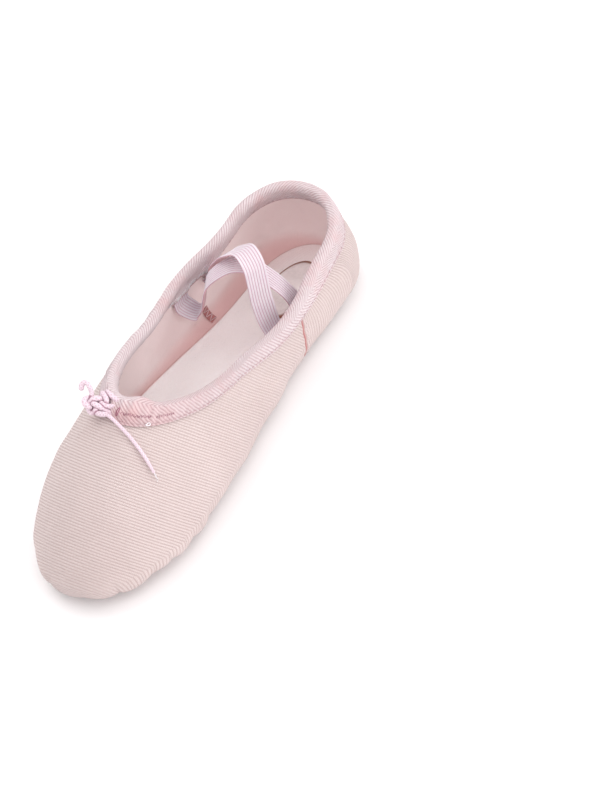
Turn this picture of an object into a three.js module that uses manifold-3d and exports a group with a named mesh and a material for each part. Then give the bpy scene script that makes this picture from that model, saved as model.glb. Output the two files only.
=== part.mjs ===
// A canvas split-sole ballet slipper, lying flat on its sole.
// Millimetres. +X points to the toe, +Y to the slipper's left and +Z up.
// The origin is on the floor, under the middle of the slipper.
import * as THREE from 'three';
import Module from 'manifold-3d';
import { mergeVertices } from 'three/addons/utils/BufferGeometryUtils.js';

const wasm = await Module();
wasm.setup();

// ---- Driving dimensions ----
const LENGTH = 235;
const TOE_BEND = 4; // how far the toe leans to the left
const BEND_START = -30;
const OUTLINE_HEIGHT = 16; // height of the widest line of the upper
const CANVAS_BOTTOM = 1.8;
const HEEL_SHARE = 0.27; // share of each side's stations spent on the round of the heel
const TOE_SHARE = 0.6; // where the round of the toe begins
const BODY = {
  back: -LENGTH / 2,
  heelLength: 27,
  heelHalf: 29.5,
  heelPower: 2.15,
  front: LENGTH / 2,
  toeLength: 68,
  ballHalf: 37,
  toePower: 2.1,
  waistHalf: 31.5,
};
const RIM = {
  back: -LENGTH / 2 + 10,
  heelLength: 30,
  heelHalf: 25,
  heelPower: 2.15,
  front: 46,
  toeLength: 50,
  ballHalf: 24.5,
  toePower: 2,
  waistHalf: 29.5,
};
const RIM_HEEL_HEIGHT = 52;
const RIM_SIDE_HEIGHT = 44;
const RIM_FRONT_HEIGHT = 60;
const SPINE_BACK = -88;
const SPINE_FRONT = 80;

const CANVAS = 1.0; // thickness
const LINING = 0.8;
const INSOLE = 1.6;
const HEEL_PAD = 1.2;
const TAPE = 0.8; // binding tape
const GAP = 0.3; // between neighbouring layers
const BINDING_GAP = 0.45; // between the canvas and the outer leg of the binding
const LINING_DEPTH = CANVAS + GAP;
const INSOLE_DEPTH = LINING_DEPTH + LINING + GAP;
const PAD_DEPTH = INSOLE_DEPTH + INSOLE + GAP;
const BINDING_WIDTH = 12;
const EDGE_IN_BINDING = 4; // the canvas stops this far below the binding's fold
const DRAWSTRING_RADIUS = 0.75;
const STRAP_WIDTH = 11;
const STRAP_THICKNESS = 1;

const STATIONS = 44; // meridians round the upper
const CROSS_SEAM_X = -47;
const FOLD_X = 4; // the fold line of the arch, across the sole
const FOLD_HALF_ANGLE = THREE.MathUtils.degToRad(16.5);
const FOLD_BASE = 1; // half width of the fold strip at the sole
const CUT = GAP / 2;
const VAMP_WALL_FROM = 9; // heights between which the canvas round the toes is a wall
const VAMP_TOP_FROM = 31.5;

const PATCH_THICKNESS = 1.5;
const FRONT_PATCH = { tip: 8, length: 76, half: 27.5, toward: 1 };
const HEEL_PATCH = { tip: -62, length: 46, half: 19, toward: -1 };
const STITCH_ROWS = { outer: 3, inner: 6.5 };
const TEARDROP_BULGE = 0.77; // the most that sin(a) sin(a / 2) reaches

// ---- Materials ----
function cloth(color, roughness = 0.9) {
  return new THREE.MeshStandardMaterial({ color, roughness, metalness: 0 });
}
const canvasPink = cloth(0xedd5d0);
const liningPink = cloth(0xd8b4b2);
const insoleCloth = cloth(0xe1d5d2);
const bindingPink = cloth(0xf0dce2, 0.8);
const elasticPink = cloth(0xf0d7e4, 0.7);
const cordPink = cloth(0xe9d3dc, 0.7);
const suedeRust = cloth(0xaf4e40, 0.95);
const threadPink = cloth(0xe6c6c4, 0.7);
const threadCream = cloth(0xf0e1d7, 0.7);

// ---- The upper as a surface ----
const clamp = THREE.MathUtils.clamp;
const lerp = THREE.MathUtils.lerp;
const smooth = (u) => u * u * (3 - 2 * u);
const wave = (u) => 0.5 - 0.5 * Math.cos(Math.PI * clamp(u, 0, 1));

// Half of a plan outline, from the heel (t = 0) to the toe (t = 1): a round heel, a waisted side, a round toe.
function planPoint(t, o) {
  const corner = (share, length, half, power) => {
    const angle = (share * Math.PI) / 2;
    return [length * Math.cos(angle) ** (2 / power), half * Math.sin(angle) ** (2 / power)];
  };
  if (t < HEEL_SHARE) {
    const [x, y] = corner(t / HEEL_SHARE, o.heelLength, o.heelHalf, o.heelPower);
    return [o.back + o.heelLength - x, y];
  }
  if (t > TOE_SHARE) {
    const [x, y] = corner((1 - t) / (1 - TOE_SHARE), o.toeLength, o.ballHalf, o.toePower);
    return [o.front - o.toeLength + x, y];
  }
  const u = (t - HEEL_SHARE) / (TOE_SHARE - HEEL_SHARE);
  const pinch = o.waistHalf - (o.heelHalf + o.ballHalf) / 2;
  const y = lerp(o.heelHalf, o.ballHalf, smooth(u)) + pinch * Math.sin(Math.PI * u) ** 2;
  return [lerp(o.back + o.heelLength, o.front - o.toeLength, u), y];
}

function rimHeight(t) {
  const fall = (RIM_SIDE_HEIGHT - RIM_HEEL_HEIGHT) * wave(t / 0.42);
  const rise = (RIM_FRONT_HEIGHT - RIM_SIDE_HEIGHT) * wave((t - 0.45) / 0.55);
  return RIM_HEEL_HEIGHT + fall + rise;
}

function spineX(t) {
  return lerp(SPINE_BACK, SPINE_FRONT, 0.35 * t + 0.65 * smooth(t));
}

// One meridian, from the middle of the sole round the side to the rim. station runs 0 to 1 from the
// heel to the toe on the left side and 1 to 2 back to the heel on the right side.
const meridians = new Map();
function meridian(station) {
  const turn = ((station % 2) + 2) % 2;
  const key = turn.toFixed(6);
  if (meridians.has(key)) return meridians.get(key);
  const side = turn <= 1 ? 1 : -1;
  const t = turn <= 1 ? turn : 2 - turn;
  const [ox, oy] = planPoint(t, BODY);
  const [rx, ry] = planPoint(t, RIM);
  const height = rimHeight(t);
  const rise = height - OUTLINE_HEIGHT;
  const spine = new THREE.Vector3(spineX(t), 0, CANVAS_BOTTOM);
  const outline = new THREE.Vector3(ox, side * oy, OUTLINE_HEIGHT);
  const rim = new THREE.Vector3(rx, side * ry, height);
  const reach = Math.hypot(ox - rx, oy - ry);
  const roof = smooth(clamp((reach - 10) / 45, 0, 1)); // 1 where the upper closes over the toes
  const floorHandle = spine.clone().lerp(outline, 0.86).setZ(CANVAS_BOTTOM);
  const wallFoot = outline.clone().setZ(lerp(CANVAS_BOTTOM, OUTLINE_HEIGHT, 0.25));
  const wallHead = outline.clone().setZ(OUTLINE_HEIGHT + 0.5 * rise * (1 - 0.25 * roof));
  const rimHandle = rim.clone().lerp(outline, lerp(0.35, 0.38, roof));
  rimHandle.z = height - (1 - roof) * 0.4 * rise - roof * 6;
  const path = new THREE.CurvePath();
  path.add(new THREE.CubicBezierCurve3(spine, floorHandle, wallFoot, outline));
  path.add(new THREE.CubicBezierCurve3(outline, wallHead, rimHandle, rim));
  const found = { path, length: path.getLength(), lower: path.getCurveLengths()[0] };
  meridians.set(key, found);
  return found;
}

// The point of the outer skin that lies the given distance below the rim, along the meridian.
function skinPoint(station, below) {
  const { path, length } = meridian(station);
  const p = path.getPoint(clamp(1 - below / length, 0, 1));
  p.y += TOE_BEND * (Math.max(p.x - BEND_START, 0) / (LENGTH / 2 - BEND_START)) ** 2;
  return p;
}

// The same point moved inwards by depth, along the surface's normal.
function layerPoint(station, below, depth) {
  const length = meridian(station).length;
  const p = skinPoint(station, below);
  if (below > length - 0.5) return p.setZ(p.z + depth);
  const ahead = skinPoint(station + 0.004, below).sub(skinPoint(station - 0.004, below));
  const down = skinPoint(station, Math.min(below + 0.4, length)).sub(skinPoint(station, Math.max(below - 0.4, 0)));
  return p.addScaledVector(ahead.cross(down).normalize(), -depth);
}

// The station on one side where the skin, so far below the rim, has the given x.
function stationAt(x, side, below) {
  let low = 0.05;
  let high = 0.95;
  for (let i = 0; i < 30; i++) {
    const middle = (low + high) / 2;
    if (skinPoint(middle, below).x < x) low = middle;
    else high = middle;
  }
  return side > 0 ? low : 2 - low;
}

function wallPoint(x, side, below, depth) {
  return layerPoint(stationAt(x, side, below), below, depth);
}

// ---- Solids ----
function toGeometry(points, triangles) {
  const geometry = new THREE.BufferGeometry();
  geometry.setAttribute('position', new THREE.Float32BufferAttribute(points.flatMap((p) => p.toArray()), 3));
  geometry.setIndex(triangles);
  return mergeVertices(geometry, 1e-3);
}

function toSolid(source) {
  const bare = source.clone();
  for (const name of ['normal', 'uv']) bare.deleteAttribute(name);
  const geometry = mergeVertices(bare, 1e-3);
  const triVerts = [];
  const index = geometry.index.array;
  for (let i = 0; i < index.length; i += 3) {
    const [a, b, c] = [index[i], index[i + 1], index[i + 2]];
    if (a !== b && b !== c && c !== a) triVerts.push(a, b, c);
  }
  const vertProperties = new Float32Array(geometry.attributes.position.array);
  return new wasm.Manifold(new wasm.Mesh({ numProp: 3, vertProperties, triVerts: new Uint32Array(triVerts) }));
}

function fromSolid(solid) {
  const mesh = solid.getMesh();
  const geometry = new THREE.BufferGeometry();
  geometry.setAttribute('position', new THREE.BufferAttribute(mesh.vertProperties, 3));
  geometry.setIndex(new THREE.BufferAttribute(mesh.triVerts, 1));
  return geometry;
}

// Faces between rows of points that run round the upper. Each row has the same number of points. The
// first few rows can have their diagonals the other way, so that both faces of a layer have the same ones.
function stitchRows(rows, closed, mirrored = 0) {
  const count = rows[0].length;
  const triangles = [];
  const last = closed ? rows.length : rows.length - 1;
  for (let j = 0; j < last; j++) {
    for (let k = 0; k < count; k++) {
      const a = j * count + k;
      const b = j * count + ((k + 1) % count);
      const c = ((j + 1) % rows.length) * count + k;
      const d = ((j + 1) % rows.length) * count + ((k + 1) % count);
      if (j < mirrored) triangles.push(a, b, d, a, d, c);
      else triangles.push(a, b, c, b, d, c);
    }
  }
  return toGeometry(rows.flat(), triangles);
}

function rowAt(below, depth) {
  const row = [];
  for (let k = 0; k < STATIONS; k++) {
    const station = (2 * k) / STATIONS;
    row.push(layerPoint(station, below(meridian(station)), depth));
  }
  return row;
}

// A layer of the upper that is closed underneath: rows is a list of distances below the rim.
function layer(rows, depth, thickness) {
  const outside = rows.map((below) => rowAt(below, depth));
  const inside = rows.map((below) => rowAt(below, depth + thickness)).reverse();
  return stitchRows([...inside, ...outside], false, rows.length - 1);
}

// A band that follows the rim: its closed profile is a list of [distance below the rim, depth].
function band(profile) {
  return stitchRows(profile.map(([below, depth]) => rowAt(() => below, depth)), true);
}

// Every layer has its rows on the same lines, from inside the binding to the middle of the sole, so that
// the facets of neighbouring layers stay parallel.
const ROW_STEPS = 10;
const upperRows = [];
for (let i = 0; i <= ROW_STEPS; i++) upperRows.push((m) => lerp(EDGE_IN_BINDING, m.length, i / ROW_STEPS));

// Everything between two boundaries seen from the side, as [x, z] corners.
function sideRegion(corners) {
  const shape = new THREE.Shape(corners.map(([x, z]) => new THREE.Vector2(x, z)));
  const geometry = new THREE.ExtrudeGeometry(shape, { depth: 200, bevelEnabled: false });
  return toSolid(geometry.translate(0, 0, -100).rotateX(Math.PI / 2));
}

const FAR = 200;
const foldX = (z, direction) => FOLD_X + direction * (FOLD_BASE + z * Math.tan(FOLD_HALF_ANGLE));
const ahead = sideRegion([[foldX(0, 1) + CUT, -5], [FAR, -5], [FAR, FAR], [foldX(FAR, 1) + CUT, FAR], [foldX(0, 1) + CUT, 0]]);
const fold = sideRegion([
  [foldX(0, -1) + CUT, -5],
  [foldX(0, 1) - CUT, -5],
  [foldX(0, 1) - CUT, 0],
  [foldX(FAR, 1) - CUT, FAR],
  [foldX(FAR, -1) + CUT, FAR],
  [foldX(0, -1) + CUT, 0],
]);
const behind = sideRegion([[-FAR, -5], [foldX(0, -1) - CUT, -5], [foldX(0, -1) - CUT, 0], [foldX(FAR, -1) - CUT, FAR], [-FAR, FAR]]);
const crossSeamSlab = (from, to) => sideRegion([[from, -5], [to, -5], [to, FAR], [from, FAR]]);
const heightSlab = (from, to) => sideRegion([[-FAR, from], [FAR, from], [FAR, to], [-FAR, to]]);
const leftHalf = toSolid(new THREE.BoxGeometry(2 * FAR, FAR, 2 * FAR).translate(0, FAR / 2, 0));
const rightHalf = toSolid(new THREE.BoxGeometry(2 * FAR, FAR, 2 * FAR).translate(0, -FAR / 2, 0));

// ---- Building the group ----
const slipper = new THREE.Group();

function add(name, geometry, material) {
  const mesh = new THREE.Mesh(geometry, material);
  mesh.name = name;
  slipper.add(mesh);
  return mesh;
}

function addPiece(name, solid, material) {
  return add(name, fromSolid(solid), material);
}

// A band round the rim is one piece of tape or thread, cut where the arch folds.
function addBand(name, geometry, material) {
  const solid = toSolid(geometry);
  const between = solid.intersect(fold);
  addPiece(`front_${name}`, solid.intersect(ahead), material);
  addPiece(`rear_${name}`, solid.intersect(behind), material);
  addPiece(`arch_${name}_left`, between.intersect(leftHalf), material);
  addPiece(`arch_${name}_right`, between.intersect(rightHalf), material);
}

// The canvas ahead of the fold is one cloth. It is cut level into a top, a wall round the toes and an
// underside, so that each is a simple shape.
function addCanvas() {
  const solid = toSolid(layer(upperRows, 0, CANVAS));
  const vamp = solid.intersect(ahead);
  addPiece('vamp_canvas', vamp.intersect(heightSlab(VAMP_TOP_FROM + CUT, FAR)), canvasPink);
  addPiece('vamp_wall', vamp.intersect(heightSlab(VAMP_WALL_FROM + CUT, VAMP_TOP_FROM - CUT)), canvasPink);
  addPiece('vamp_underside', vamp.intersect(heightSlab(-5, VAMP_WALL_FROM - CUT)), canvasPink);
  addPiece('arch_canvas', solid.intersect(fold), canvasPink);
  addPiece('waist_canvas', solid.intersect(behind).intersect(crossSeamSlab(CROSS_SEAM_X + CUT, FAR)), canvasPink);
  addPiece('quarter_canvas', solid.intersect(crossSeamSlab(-FAR, CROSS_SEAM_X - CUT)), canvasPink);
}

function addLining() {
  const solid = toSolid(layer(upperRows, LINING_DEPTH, LINING));
  addPiece('vamp_lining', solid.intersect(ahead), liningPink);
  addPiece('arch_lining', solid.intersect(fold), liningPink);
  addPiece('quarter_lining', solid.intersect(behind), liningPink);
}

function addInsole() {
  const solid = toSolid(layer(upperRows.slice(-4), INSOLE_DEPTH, INSOLE));
  addPiece('front_insole', solid.intersect(ahead), insoleCloth);
  addPiece('rear_insole', solid.intersect(behind), insoleCloth);
  const pad = toSolid(layer(upperRows.slice(-3), PAD_DEPTH, HEEL_PAD));
  addPiece('heel_pad', pad.intersect(crossSeamSlab(-FAR, -62)), insoleCloth);
}

// The tape is folded over the edges of the canvas and the lining, with the drawstring in the fold.
function addBinding() {
  const outside = -BINDING_GAP - TAPE;
  const inside = INSOLE_DEPTH + TAPE;
  const middle = (outside + inside) / 2;
  const profile = [
    [BINDING_WIDTH, outside + TAPE],
    [6, outside + TAPE],
    [2, outside + TAPE],
    [1.1, middle],
    [2, inside - TAPE],
    [6, inside - TAPE],
    [BINDING_WIDTH, inside - TAPE],
    [BINDING_WIDTH, inside],
    [6, inside],
    [1.4, inside],
    [0.3, inside - 0.8],
    [0, middle],
    [0.3, outside + 0.8],
    [1.4, outside],
    [6, outside],
    [BINDING_WIDTH, outside],
  ];
  addBand('binding', band(profile), bindingPink);
  const cord = [];
  for (let i = 0; i < 6; i++) {
    const angle = (i * Math.PI) / 3;
    cord.push([2.8 + DRAWSTRING_RADIUS * Math.cos(angle), middle + DRAWSTRING_RADIUS * Math.sin(angle)]);
  }
  addBand('drawstring', band(cord), cordPink);
  const row = BINDING_WIDTH - 1.3;
  const face = outside - GAP;
  addBand('binding_stitch', band([[row, face], [row, face - 0.4], [row + 0.5, face - 0.4], [row + 0.5, face]]), threadPink);
}

// The seam across the waist: a raised edge over the join and one row of stitching behind it.
function addCrossSeam() {
  const strip = (from, to, depth, thickness) =>
    toSolid(layer(upperRows.slice(2), depth, thickness)).intersect(crossSeamSlab(from, to));
  addPiece('cross_seam_ridge', strip(CROSS_SEAM_X - 0.7, CROSS_SEAM_X + 0.7, -GAP - 0.6, 0.6), canvasPink);
  addPiece('cross_seam_stitch', strip(CROSS_SEAM_X - 3.3, CROSS_SEAM_X - 2.8, -GAP - 0.4, 0.4), threadPink);
}

// The seam along the middle of the arch, from the cross seam to the tip of the front patch.
function addCentreSeam() {
  const start = CROSS_SEAM_X + 1.2;
  const end = FOLD_X - FOLD_BASE - 0.4;
  const bar = (width, height, y) => {
    const middle = CANVAS_BOTTOM - GAP - height / 2;
    return new THREE.BoxGeometry(end - start, width, height).translate((start + end) / 2, y, middle);
  };
  add('centre_seam_ridge', bar(1.2, 0.7, 0), canvasPink);
  add('centre_seam_stitch_left', bar(0.6, 0.4, 2), threadPink);
  add('centre_seam_stitch_right', bar(0.6, 0.4, -2), threadPink);
}

// A teardrop outline, set in from the patch's edge. Its tip is square and its other end is round.
function teardrop(patch, inset) {
  const tipInset = inset * Math.hypot(1, (patch.length * TEARDROP_BULGE) / (2 * patch.half));
  const length = patch.length - inset - tipInset;
  const width = (patch.half - inset) / TEARDROP_BULGE;
  const points = [];
  const steps = 32;
  for (let i = 0; i < steps; i++) {
    const a = (2 * Math.PI * i) / steps;
    const x = (length * (1 - Math.cos(a))) / 2 + tipInset;
    const y = width * Math.sin(a) * Math.abs(Math.sin(a / 2));
    points.push(new THREE.Vector2(patch.tip + patch.toward * x, patch.toward * y));
  }
  return points;
}

function teardropPlate(patch, inset, low, high) {
  const shape = new THREE.Shape(teardrop(patch, inset));
  return toSolid(new THREE.ExtrudeGeometry(shape, { depth: high - low, bevelEnabled: false }).translate(0, 0, low));
}

function teardropRing(patch, middle, width, low, high) {
  const outer = teardropPlate(patch, middle - width / 2, low, high);
  return outer.subtract(teardropPlate(patch, middle + width / 2, low - 1, high + 1));
}

// A suede patch under the sole. Its two rows of stitching lie in grooves.
function addPatch(name, patch, sideways) {
  let solid = teardropPlate(patch, 0, 0, PATCH_THICKNESS);
  for (const [row, inset] of Object.entries(STITCH_ROWS)) {
    solid = solid.subtract(teardropRing(patch, inset, 1.2, -1, 0.8));
    const thread = teardropRing(patch, inset, 0.6, 0.05, 0.5);
    addPiece(`${name}_stitch_${row}`, thread, threadCream).position.y = sideways;
  }
  addPiece(`${name}_patch`, solid, suedeRust).position.y = sideways;
}

// ---- Elastic straps ----
// A flat elastic along a smooth path. across gives the direction of its width at each share of the path.
function ribbon(points, across) {
  const curve = new THREE.CatmullRomCurve3(points);
  const steps = 28;
  const rows = [[], [], [], []];
  for (let i = 0; i <= steps; i++) {
    const p = curve.getPointAt(i / steps);
    const tangent = curve.getTangentAt(i / steps);
    const width = across(i / steps).projectOnPlane(tangent).normalize();
    const face = tangent.clone().cross(width);
    const corners = [[1, 1], [-1, 1], [-1, -1], [1, -1]];
    corners.forEach(([w, f], c) => {
      const corner = p.clone().addScaledVector(width, (w * STRAP_WIDTH) / 2);
      rows[c].push(corner.addScaledVector(face, (f * STRAP_THICKNESS) / 2));
    });
  }
  const count = steps + 1;
  const triangles = [];
  for (let c = 0; c < 4; c++) {
    for (let i = 0; i < steps; i++) {
      const [a, b] = [c * count + i, ((c + 1) % 4) * count + i];
      triangles.push(a, b, a + 1, b, b + 1, a + 1);
    }
  }
  triangles.push(0, 2 * count, count, 0, 3 * count, 2 * count);
  triangles.push(steps, count + steps, 2 * count + steps, steps, 2 * count + steps, 3 * count + steps);
  return toGeometry(rows.flat(), triangles);
}

// Both ends are sewn under the binding's lower inner edge, pointing down the wall.
function strapEnd(x, side) {
  const flat = INSOLE_DEPTH + STRAP_THICKNESS / 2 + 0.6;
  return [
    wallPoint(x, side, BINDING_WIDTH + 2.4, flat),
    wallPoint(x, side, BINDING_WIDTH + 4.6, flat + 0.4),
  ];
}

function addStrap(name, from, to, middle) {
  const start = strapEnd(...from);
  const end = strapEnd(...to).reverse();
  const points = [...start, ...middle.map((p) => new THREE.Vector3(...p)), ...end];
  const span = end[1].clone().sub(start[0]).setZ(0);
  const crosswise = new THREE.Vector3(-span.y, span.x, 0).normalize();
  const lengthwise = new THREE.Vector3(1, 0, 0);
  const across = (u) => lengthwise.clone().lerp(crosswise, smooth(clamp(5 * Math.min(u, 1 - u), 0, 1)));
  add(name, ribbon(points, across), elasticPink);
}

function addStraps() {
  addStrap('strap_over', [-35, 1], [-59, -1], [
    [-36.5, 22, 29.5],
    [-38, 17.7, 36.5],
    [-39.5, 14.6, 46],
    [-40, 13.6, 56],
    [-40.6, 12.3, 66],
    [-43, 7.4, 70],
    [-46.6, -0.2, 64.5],
    [-51.1, -9.5, 54],
    [-54.5, -16.8, 43],
    [-56.8, -21.2, 33],
  ]);
  addStrap('strap_under', [-57.5, 1], [-35, -1], [
    [-56, 22.3, 30.5],
    [-54.4, 19, 38],
    [-52, 13.6, 46.5],
    [-48.8, 5.6, 54.5],
    [-46, -1.2, 56],
    [-43.2, -8.2, 52],
    [-41, -13.6, 46],
    [-39.9, -16.4, 38],
    [-39.3, -17.8, 30],
    [-38, -20.6, 25.4],
  ]);
}

// Bar tacks that hold the strap ends, on the binding's inner face.
function addTacks() {
  const ends = { left_front: [-35, 1], left_rear: [-57.5, 1], right_front: [-35, -1], right_rear: [-59, -1] };
  for (const [name, [x, side]] of Object.entries(ends)) {
    const depth = INSOLE_DEPTH + TAPE + GAP + 0.25;
    const tack = new THREE.Mesh(new THREE.BoxGeometry(STRAP_WIDTH - 1, 0.5, 1.6), threadPink);
    tack.position.copy(wallPoint(x, side, BINDING_WIDTH - 2, depth));
    const along = wallPoint(x + 4, side, BINDING_WIDTH - 2, depth).sub(wallPoint(x - 4, side, BINDING_WIDTH - 2, depth));
    const up = wallPoint(x, side, BINDING_WIDTH - 4, depth).sub(wallPoint(x, side, BINDING_WIDTH, depth));
    const out = up.clone().cross(along);
    tack.quaternion.setFromRotationMatrix(new THREE.Matrix4().makeBasis(
      along.normalize(),
      out.normalize(),
      along.clone().cross(out).normalize(),
    ));
    tack.name = `${name}_tack`;
    slipper.add(tack);
  }
}

// ---- The drawstring's knot and ends ----
const KNOT_CENTRE = new THREE.Vector3(53, -10.6, 60);
const KNOT_UP = new THREE.Vector3(0.3, -0.27, 0.91).normalize();
const KNOT_LONG = new THREE.Vector3(0.25, 0.85, 0.17).projectOnPlane(KNOT_UP).normalize();
const LONG_TAIL_RADIUS = 0.8;
const SHORT_TAIL_RADIUS = 1;

// The long end lies over the binding and down the front of the upper.
const LONG_TAIL = [
  [57.7, -3.6, 60.6],
  [58.3, -1.6, 60.8],
  [58.8, 0.4, 60.2],
  [59.2, 2.4, 59.1],
  [59.8, 4.6, 58.2],
  [60.5, 6.8, 57.4],
  [61.2, 9, 56.5],
  [62, 11.2, 55.4],
  [62.8, 13.3, 54.2],
  [63.6, 15.4, 52.9],
  [64.4, 17.3, 51.5],
  [65.1, 19, 50],
  [65.8, 20.5, 48.5],
  [66.4, 21.8, 47.2],
  [67, 23, 46],
];

// The short end stands up out of the knot and curls over.
const SHORT_TAIL = [
  [51, -15.2, 63],
  [50.4, -16, 64.2],
  [49.8, -17, 65.2],
  [49.4, -18.2, 65.9],
  [49.7, -19.4, 65.7],
  [50.6, -20.1, 64.8],
  [51.4, -20, 63.8],
];

function cordTube(points, radius, steps) {
  const section = new THREE.Shape();
  section.absarc(0, 0, radius, 0, 2 * Math.PI);
  const extrudePath = new THREE.CatmullRomCurve3(points.map((p) => new THREE.Vector3(...p)));
  return new THREE.ExtrudeGeometry(section, { steps, curveSegments: 4, extrudePath });
}

function addKnot() {
  const loops = new THREE.TorusKnotGeometry(3, 1.05, 36, 6, 2, 3).scale(1.35, 1, 1);
  const knot = add('drawstring_knot', loops, cordPink);
  const crosswise = KNOT_UP.clone().cross(KNOT_LONG);
  knot.quaternion.setFromRotationMatrix(new THREE.Matrix4().makeBasis(KNOT_LONG, crosswise, KNOT_UP));
  knot.position.copy(KNOT_CENTRE);
  add('long_tail', cordTube(LONG_TAIL, LONG_TAIL_RADIUS, 14), cordPink);
  add('short_tail', cordTube(SHORT_TAIL, SHORT_TAIL_RADIUS, 8), cordPink);
}

addCanvas();
addLining();
addInsole();
addBinding();
addCrossSeam();
addCentreSeam();
addPatch('front_sole', FRONT_PATCH, 1);
addPatch('heel_sole', HEEL_PATCH, 0);
addStraps();
addTacks();
addKnot();

export default slipper;
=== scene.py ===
import math

import bmesh
import bpy
import numpy as np
from mathutils import Matrix, Vector, kdtree, noise


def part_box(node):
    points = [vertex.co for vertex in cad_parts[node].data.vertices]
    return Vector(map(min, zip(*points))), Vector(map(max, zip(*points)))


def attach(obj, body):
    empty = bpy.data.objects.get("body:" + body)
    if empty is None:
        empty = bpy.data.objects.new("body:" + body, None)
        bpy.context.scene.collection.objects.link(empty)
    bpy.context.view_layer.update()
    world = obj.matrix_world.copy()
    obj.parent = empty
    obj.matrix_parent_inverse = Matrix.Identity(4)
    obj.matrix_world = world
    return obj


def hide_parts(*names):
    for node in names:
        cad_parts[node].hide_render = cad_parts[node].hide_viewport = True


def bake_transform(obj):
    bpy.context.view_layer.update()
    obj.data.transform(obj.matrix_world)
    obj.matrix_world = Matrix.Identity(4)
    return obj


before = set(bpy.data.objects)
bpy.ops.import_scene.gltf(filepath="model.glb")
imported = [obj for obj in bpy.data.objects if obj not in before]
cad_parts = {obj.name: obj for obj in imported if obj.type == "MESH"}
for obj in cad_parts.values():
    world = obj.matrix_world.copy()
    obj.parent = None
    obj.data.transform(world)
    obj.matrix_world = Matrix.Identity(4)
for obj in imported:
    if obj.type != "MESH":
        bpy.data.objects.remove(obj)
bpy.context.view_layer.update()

MM = 0.001
rng = np.random.default_rng(7)


def node_box(node):
    """The two corners of a CAD node's box, in millimetres."""
    low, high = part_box(node)
    return np.array(low) / MM, np.array(high) / MM


# ---- Driving dimensions, in millimetres ----
LENGTH = 235
TOE_BEND = 4
BEND_START = -30
OUTLINE_HEIGHT = 16
CANVAS_BOTTOM = 1.8
HEEL_SHARE = 0.27
TOE_SHARE = 0.6
BODY = {
    "back": -LENGTH / 2, "heel_length": 27, "heel_half": 29.5, "heel_power": 2.15,
    "front": LENGTH / 2, "toe_length": 68, "ball_half": 37, "toe_power": 2.1, "waist_half": 31.5,
}
RIM = {
    "back": -LENGTH / 2 + 10, "heel_length": 30, "heel_half": 25, "heel_power": 2.15,
    "front": 46, "toe_length": 50, "ball_half": 24.5, "toe_power": 2, "waist_half": 29.5,
}
RIM_HEEL_HEIGHT = 52
RIM_SIDE_HEIGHT = 44
RIM_FRONT_HEIGHT = 60
RIM_FALL_END = 0.42  # the rim falls from the heel to this share of its length
RIM_RISE_START = 0.45  # and rises from this share to the front
SPINE_BACK = -88
SPINE_FRONT = 80

CANVAS = 1.0
LINING_DEPTH = 1.3
LINING = 0.8
INSOLE_DEPTH = 2.4
INSOLE = 1.6
BINDING_OUTSIDE = -1.25
BINDING_INSIDE = 3.2
BINDING_WIDTH = 12
STRAP_WIDTH = 11
STRAP_THICKNESS = 1
RIB_PITCH = 1.25  # of the canvas
RIB_LEAN = 0.72  # how far the vamp's ribs lean back for each millimetre down
CROSS_SEAM_X = node_box("quarter_canvas")[1][0] + 0.15
KNOT = sum(node_box("drawstring_knot")) / 2


# ---- Camera and stage ----
def view_axes(azimuth, elevation, roll):
    """The camera's right, up and back directions."""
    a, e, r = map(math.radians, (azimuth, elevation, roll))
    back = np.array([math.sin(a) * math.cos(e), -math.cos(a) * math.cos(e), math.sin(e)])
    level = np.array([math.cos(a), math.sin(a), 0])
    up = np.cross(back, level)
    return level * math.cos(r) + up * math.sin(r), up * math.cos(r) - level * math.sin(r), back


VIEW_RIGHT, VIEW_UP, VIEW_BACK = view_axes(azimuth=129.0, elevation=47.3, roll=-11.1)
WARM_WHITE = (1.0, 0.985, 0.985)
FLOOR_WHITE = (0.93, 0.92, 0.925, 1)
CAMERA_DISTANCE = 1.297
CAMERA_LENS = 129.6
TURN_RIGHT, TURN_UP = 0.03407, 0.00681  # tangents of the angles from the slipper to the view's centre


def add_camera():
    back = VIEW_BACK - VIEW_RIGHT * TURN_RIGHT - VIEW_UP * TURN_UP
    back /= np.linalg.norm(back)
    right = VIEW_RIGHT - back * (VIEW_RIGHT @ back)
    right /= np.linalg.norm(right)
    up = np.cross(back, right)
    data = bpy.data.cameras.new("camera")
    data.sensor_width = 36
    data.lens = CAMERA_LENS
    camera = bpy.data.objects.new("camera", data)
    bpy.context.scene.collection.objects.link(camera)
    rotation = Matrix((right, up, back)).transposed().to_4x4()
    camera.matrix_world = Matrix.Translation(VIEW_BACK * CAMERA_DISTANCE) @ rotation
    bpy.context.scene.camera = camera


def add_light(name, direction, distance, size, power, colour=(1, 1, 1)):
    data = bpy.data.lights.new(name, "AREA")
    data.size = size
    data.energy = power
    data.color = colour
    light = bpy.data.objects.new(name, data)
    bpy.context.scene.collection.objects.link(light)
    way = Vector(direction).normalized()
    light.location = way * distance
    light.rotation_mode = "QUATERNION"
    light.rotation_quaternion = way.to_track_quat("Z", "Y")


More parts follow.
